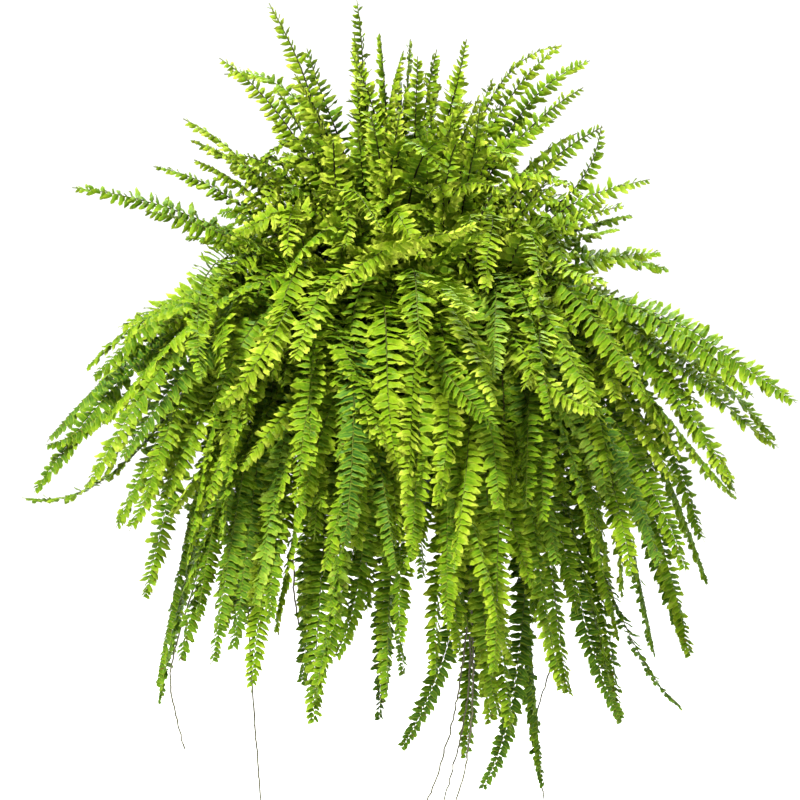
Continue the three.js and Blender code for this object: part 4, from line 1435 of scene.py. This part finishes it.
# %% Soil body
SOIL_EDGE_DROP = 4
SOIL_ROUND = 8
SOIL_RINGS = 26
CLEARANCE = 0.3
soil_random = np.random.RandomState(11)
soil_floor = pot_bottom + POT_FLOOR + CLEARANCE
soil_edge = SOIL_TOP - SOIL_EDGE_DROP
edge_radius = inner_radius(soil_edge) - CLEARANCE
top_radius = edge_radius - SOIL_ROUND
soil_profile = [
    (0, soil_floor),
    (inner_radius(soil_floor) - CLEARANCE, soil_floor),
    (edge_radius, soil_edge),
]
for k in range(SOIL_RINGS + 1):
    soil_profile.append((top_radius - top_radius * k / SOIL_RINGS, SOIL_TOP))
soil = spun("potting_mix", soil_profile, 110)
for vertex in soil.data.vertices:
    if vertex.co.z > (SOIL_TOP - 1) * MM:
        x, y = vertex.co.x / MM, vertex.co.y / MM
        wave = math.sin(0.11 * x + 1.3) * math.cos(0.13 * y) + 0.6 * math.sin(0.31 * x - 0.27 * y)
        vertex.co.z += (0.8 * wave - 0.9 + soil_random.uniform(-0.7, 0.7)) * MM
print("soil:", triangles_of(soil), "triangles")

# %% Crumbs and perlite
CRUMBS = 520
PERLITE_ABOVE = 0.86
CRUMB_SIZE = (0.9, 2.6)


def crumb_template():
    shape = bmesh.new()
    bmesh.ops.create_icosphere(shape, subdivisions=1, radius=1)
    return read_template(shape)


crumb = crumb_template()
per_crumb = len(crumb["points"])
radii = (edge_radius - 10) * np.sqrt(soil_random.uniform(0.01, 1, CRUMBS))
angles = soil_random.uniform(0, 2 * math.pi, CRUMBS)
sizes = soil_random.uniform(*CRUMB_SIZE, CRUMBS)
depth = np.full(CRUMBS, SOIL_TOP - 0.4)
centres = np.stack((radii * np.cos(angles), radii * np.sin(angles), depth), axis=1)
stretch = soil_random.uniform(0.5, 1.3, (CRUMBS, 1, 3))
lumps = crumb["points"][None] * stretch * soil_random.uniform(0.75, 1.15, (CRUMBS, per_crumb, 1))
white = soil_random.uniform(0, 1, CRUMBS) > PERLITE_ABOVE
perlite = point_facts(CRUMBS, per_crumb, white[:, None], 0, 0)
pile = new_pile()
gather(pile, crumb, centres[:, None] + sizes[:, None, None] * lumps, leaf=perlite)

# %% Soil material
MIX_STEPS = (
    (0.35, (0.010, 0.007, 0.004)),
    (0.5, (0.036, 0.022, 0.013)),
    (0.68, (0.090, 0.058, 0.034)),
)
PERLITE_COLOUR = (0.62, 0.60, 0.55)


def soil_material():
    """Dark fibrous mix, and white where a crumb is marked as perlite."""
    material, tree, shader = new_material("potting_mix")
    crumbs = grain(tree, 320.0, 6.0, 0.65)
    marked = stored_facts(tree, "leaf")[0]
    colour = blend_colours(tree, marked, colour_steps(tree, crumbs, MIX_STEPS), PERLITE_COLOUR)
    fill(tree, shader, ("Base Color", colour), ("Roughness", 0.95))
    raise_surface(tree, shader, crumbs, 0.9, 0.002)
    return material


mix_material = soil_material()
finish_piece(soil, "soil", mix_material)
crumbs_piece = piece_from(pile, "soil_crumbs", [mix_material])
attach(crumbs_piece, "root")
print("crumbs:", triangles_of(crumbs_piece), "triangles")

# %% [markdown]
# ## Hook and strands
# The hanger is plastic-coated wire: a hook that turns over its support, a small collar, and
# three straight strands that end in a button under each lug.

# %% Swept wire
HOOK_ROD = 2
HOOK_INNER = 15
COLLAR_TOP = -44
COLLAR_HEIGHT = 14
COLLAR_RADIUS = 14
STRAND_ROD = 1.3
STRAND_TOP_CIRCLE = 8
STRAND_SOCKET = 5
BUTTON_RADIUS = 5.5
BUTTON_HEIGHT = 3


def run_along(path):
    """The distance run at each point of a path."""
    steps = np.linalg.norm(np.diff(path, axis=0), axis=1)
    return np.concatenate(([0], np.cumsum(steps)))


def spline_point(p, k, t):
    def mix(first, second, low, high):
        return (high - t) / (high - low) * first + (t - low) / (high - low) * second

    a = [mix(p[j], p[j + 1], k[j], k[j + 1]) for j in range(3)]
    b = [mix(a[0], a[1], k[0], k[2]), mix(a[1], a[2], k[1], k[3])]
    return mix(b[0], b[1], k[1], k[2])


def smooth_path(points, steps):
    """Points on a centripetal curve through the given ones, evenly spaced."""
    points = np.asarray(points, float)
    before = 2 * points[0] - points[1]
    after = 2 * points[-1] - points[-2]
    rows = np.vstack((before, points, after))
    fine = []
    for i in range(1, len(rows) - 2):
        p = rows[i - 1 : i + 3]
        gaps = np.linalg.norm(np.diff(p, axis=0), axis=1)
        knots = np.concatenate(([0], np.cumsum(gaps**0.5)))
        for t in np.linspace(knots[1], knots[2], 24, endpoint=False):
            fine.append(spline_point(p, knots, t))
    fine = np.array(fine + [points[-1]])
    run = run_along(fine)
    even = np.linspace(0, run[-1], steps + 1)
    return np.stack([np.interp(even, run, fine[:, axis]) for axis in range(3)], axis=1)


def path_frames(path):
    """Two directions across a path that don't twist along it."""
    along = unit(np.gradient(path, axis=0))
    rows = [unit(np.cross(along[0], (0.9, 0.4, 0.1)))]
    for direction in along[1:]:
        rows.append(unit(rows[-1] - np.dot(rows[-1], direction) * direction))
    rows = np.array(rows)
    return rows, np.cross(along, rows)


def swept(pile, path, radii, sides):
    """A closed rod along a path, its girth given at each point."""
    rod = rod_template(sides, len(path) - 2)
    x, y, z = rod["points"].T
    across, up = path_frames(path)
    ring = np.round(z * (len(path) - 1)).astype(int)
    girth = np.broadcast_to(radii, len(path))[ring]
    spots = path[ring] + (girth * x)[:, None] * across[ring] + (girth * y)[:, None] * up[ring]
    gather(pile, rod, spots[None])


# %% Hook
HOOK_SIDES = 14
HOOK_STEPS = 60
HOOK_END = 1.1
SOCKET_RADIUS = 4

centre = -HOOK_INNER
bend = HOOK_INNER + HOOK_ROD
hook_points = [(0, 0, COLLAR_TOP - 4), (0, 0, COLLAR_TOP + 4), (0, 7, COLLAR_TOP + 12)]
for degrees in range(-30, 211, 30):
    turn = math.radians(degrees)
    hook_points.append((0, bend * math.cos(turn), centre + bend * math.sin(turn)))
hook_path = smooth_path(hook_points, HOOK_STEPS)
hook_girth = np.full(len(hook_path), float(HOOK_ROD))
hook_girth[-1] = HOOK_END
pile = new_pile()
swept(pile, hook_path, hook_girth, HOOK_SIDES)
hook = piece_from(pile, "hanging_hook", [plastic])
collar_bottom = COLLAR_TOP - COLLAR_HEIGHT
collar_profile = [
    (0, collar_bottom),
    (COLLAR_RADIUS - 1, collar_bottom),
    (COLLAR_RADIUS, collar_bottom + 1),
    (COLLAR_RADIUS, COLLAR_TOP - 5),
    (COLLAR_RADIUS - 1, COLLAR_TOP - 3.6),
    (5, COLLAR_TOP - 0.6),
    (3.6, COLLAR_TOP),
    (0, COLLAR_TOP),
]
collar = spun("collar", collar_profile, 40)
low, high = collar_bottom - 1, collar_bottom + STRAND_SOCKET
for index in range(STRANDS):
    place = on_circle(STRAND_TOP_CIRCLE, strand_angle(index))
    socket = short_rod("socket", SOCKET_RADIUS, low, high, place, sides=20, edge=0)
    combine(collar, socket, "DIFFERENCE")
combine(hook, collar, "UNION")
finish_piece(hook, "hook", plastic)
print("hook:", triangles_of(hook), "triangles")


# %% Strands
STRAND_STEPS = 24
STRAND_SIDES = 10
button_foot = RIM_TOP - RIM_DEPTH - CLEARANCE - BUTTON_HEIGHT
button_head = button_foot + BUTTON_HEIGHT


def strand_ends(index):
    """The foot inside the button and the head inside the socket, on one straight line."""
    angle = strand_angle(index)
    lug = on_circle(LUG_CIRCLE, angle, RIM_TOP - RIM_DEPTH + LUG_THICKNESS / 2)
    socket = on_circle(STRAND_TOP_CIRCLE, angle, collar_bottom + STRAND_SOCKET / 2)
    along = unit(socket - lug)
    heights = (button_foot + 1, collar_bottom + STRAND_SOCKET - CLEARANCE - STRAND_ROD)
    return [lug + along * ((height - lug[2]) / along[2]) for height in heights]


for index in range(STRANDS):
    foot, head = strand_ends(index)
    path = foot + np.linspace(0, 1, STRAND_STEPS)[:, None] * (head - foot)
    pile = new_pile()
    swept(pile, path, STRAND_ROD, STRAND_SIDES)
    strand = piece_from(pile, f"hanging_strand_{index + 1}", [plastic])
    button = short_rod("button", BUTTON_RADIUS, button_foot, button_head, foot, 24, edge=0.8)
    combine(strand, button, "UNION")
    finish_piece(strand, f"strand_{index + 1}", plastic)
    print("strand:", triangles_of(strand), "triangles")

# %% [markdown]
# ## Runners
# A Boston fern sends out wiry runners that hang far below the pot, tan and slightly kinked, with
# short root hairs near their ends. Each is a thin rod swept along its path.

# %% Runner lines
RUNNER_ROD = 0.9
RUNNER_SIDES = 6
RUNNER_ROOT_CIRCLE = 109
RUNNER_ROOT_DEPTH = 8
RUNNER_RIM_CLEAR = 9
RUNNER_STEP = 5
KINK = 0.35
HAIR_CHANCE = 0.25
HAIR_GIRTH = np.array((0.22, 0.18, 0.08))
RUNNER_STEPS = (
    (0.3, (0.018, 0.015, 0.005)),
    (0.5, (0.046, 0.042, 0.013)),
    (0.7, (0.095, 0.088, 0.030)),
)
# Angle of the root in degrees, points after the rim, and branches, in millimetres
RUNNERS = (
    (196, ((-205, -60, -494), (-228, -55, -582), (-222, -50, -629), (-215, -50, -657)), ()),
    (
        222,
        ((-145, -105, -374), (-146, -110, -514), (-141, -112, -614), (-135, -112, -702)),
        (((-146, -110, -514), (-124, -118, -484), (-117, -118, -524)),),
    ),
    (238, ((-98, -130, -374), (-98, -135, -504), (-86, -132, -534), (-90, -132, -567)), ()),
    (
        291,
        ((62, -165, -354), (66, -170, -444), (54, -168, -574), (30, -165, -664), (11, -165, -702)),
        (
            ((66, -170, -444), (64, -162, -574), (45, -160, -664), (34, -158, -698)),
            ((66, -170, -444), (68, -177, -584), (58, -178, -654), (42, -178, -698)),
        ),
    ),
    (318, ((135, -120, -374), (150, -110, -534), (132, -112, -614), (142, -112, -702)), ()),
)
runner_skin = dry_skin_material("runner_skin", 500.0, 4.0, RUNNER_STEPS, 0.75, 0.6, 0.0005)
runner_random = np.random.RandomState(5)
print("runners:", len(RUNNERS), "material:", runner_skin.name)


# %% Runners
def add_hair(pile, root):
    side = unit(runner_random.normal(0, 1, 3) * (1, 1, 0.5))
    tip = root + side * runner_random.uniform(2, 6) + np.array((0, 0, -1.5))
    swept(pile, np.array([root, 0.5 * (root + tip) + (0, 0, 0.4), tip]), HAIR_GIRTH, 3)


def add_runner(pile, points):
    """A kinked wire along the points, with root hairs on its lower two thirds."""
    length = run_along(smooth_path(points, 200))[-1]
    path = smooth_path(points, int(length / RUNNER_STEP))
    kink = runner_random.normal(0, KINK, path.shape)
    kink[:3] = kink[-1] = 0
    path = path + kink
    girth = RUNNER_ROD * np.linspace(1.15, 0.92, len(path))
    swept(pile, path, girth * runner_random.uniform(0.92, 1.08, len(path)), RUNNER_SIDES)
    for step in range(len(path) // 3, len(path) - 1):
        if runner_random.uniform() < HAIR_CHANCE:
            add_hair(pile, path[step])


for number, (degrees, main, branches) in enumerate(RUNNERS, start=1):
    angle = math.radians(degrees)
    over_rim = [
        on_circle(RUNNER_ROOT_CIRCLE, angle, SOIL_TOP - RUNNER_ROOT_DEPTH),
        on_circle(RUNNER_ROOT_CIRCLE, angle, SOIL_TOP + 10),
        on_circle(RIM_RADIUS - 4, angle, RIM_TOP + RUNNER_RIM_CLEAR),
        on_circle(RIM_RADIUS + RUNNER_RIM_CLEAR, angle, RIM_TOP + 2),
        on_circle(RIM_RADIUS + 1.6 * RUNNER_RIM_CLEAR, angle, RIM_TOP - 30),
    ]
    pile = new_pile()
    add_runner(pile, over_rim + [np.array(place, float) for place in main])
    for branch in branches:
        add_runner(pile, branch)
    runner = piece_from(pile, f"hanging_runner_{number}", [runner_skin], smooth_paints=(0,))
    hand_over(runner, f"runner_{number}")
    print("runner:", triangles_of(runner), "triangles")
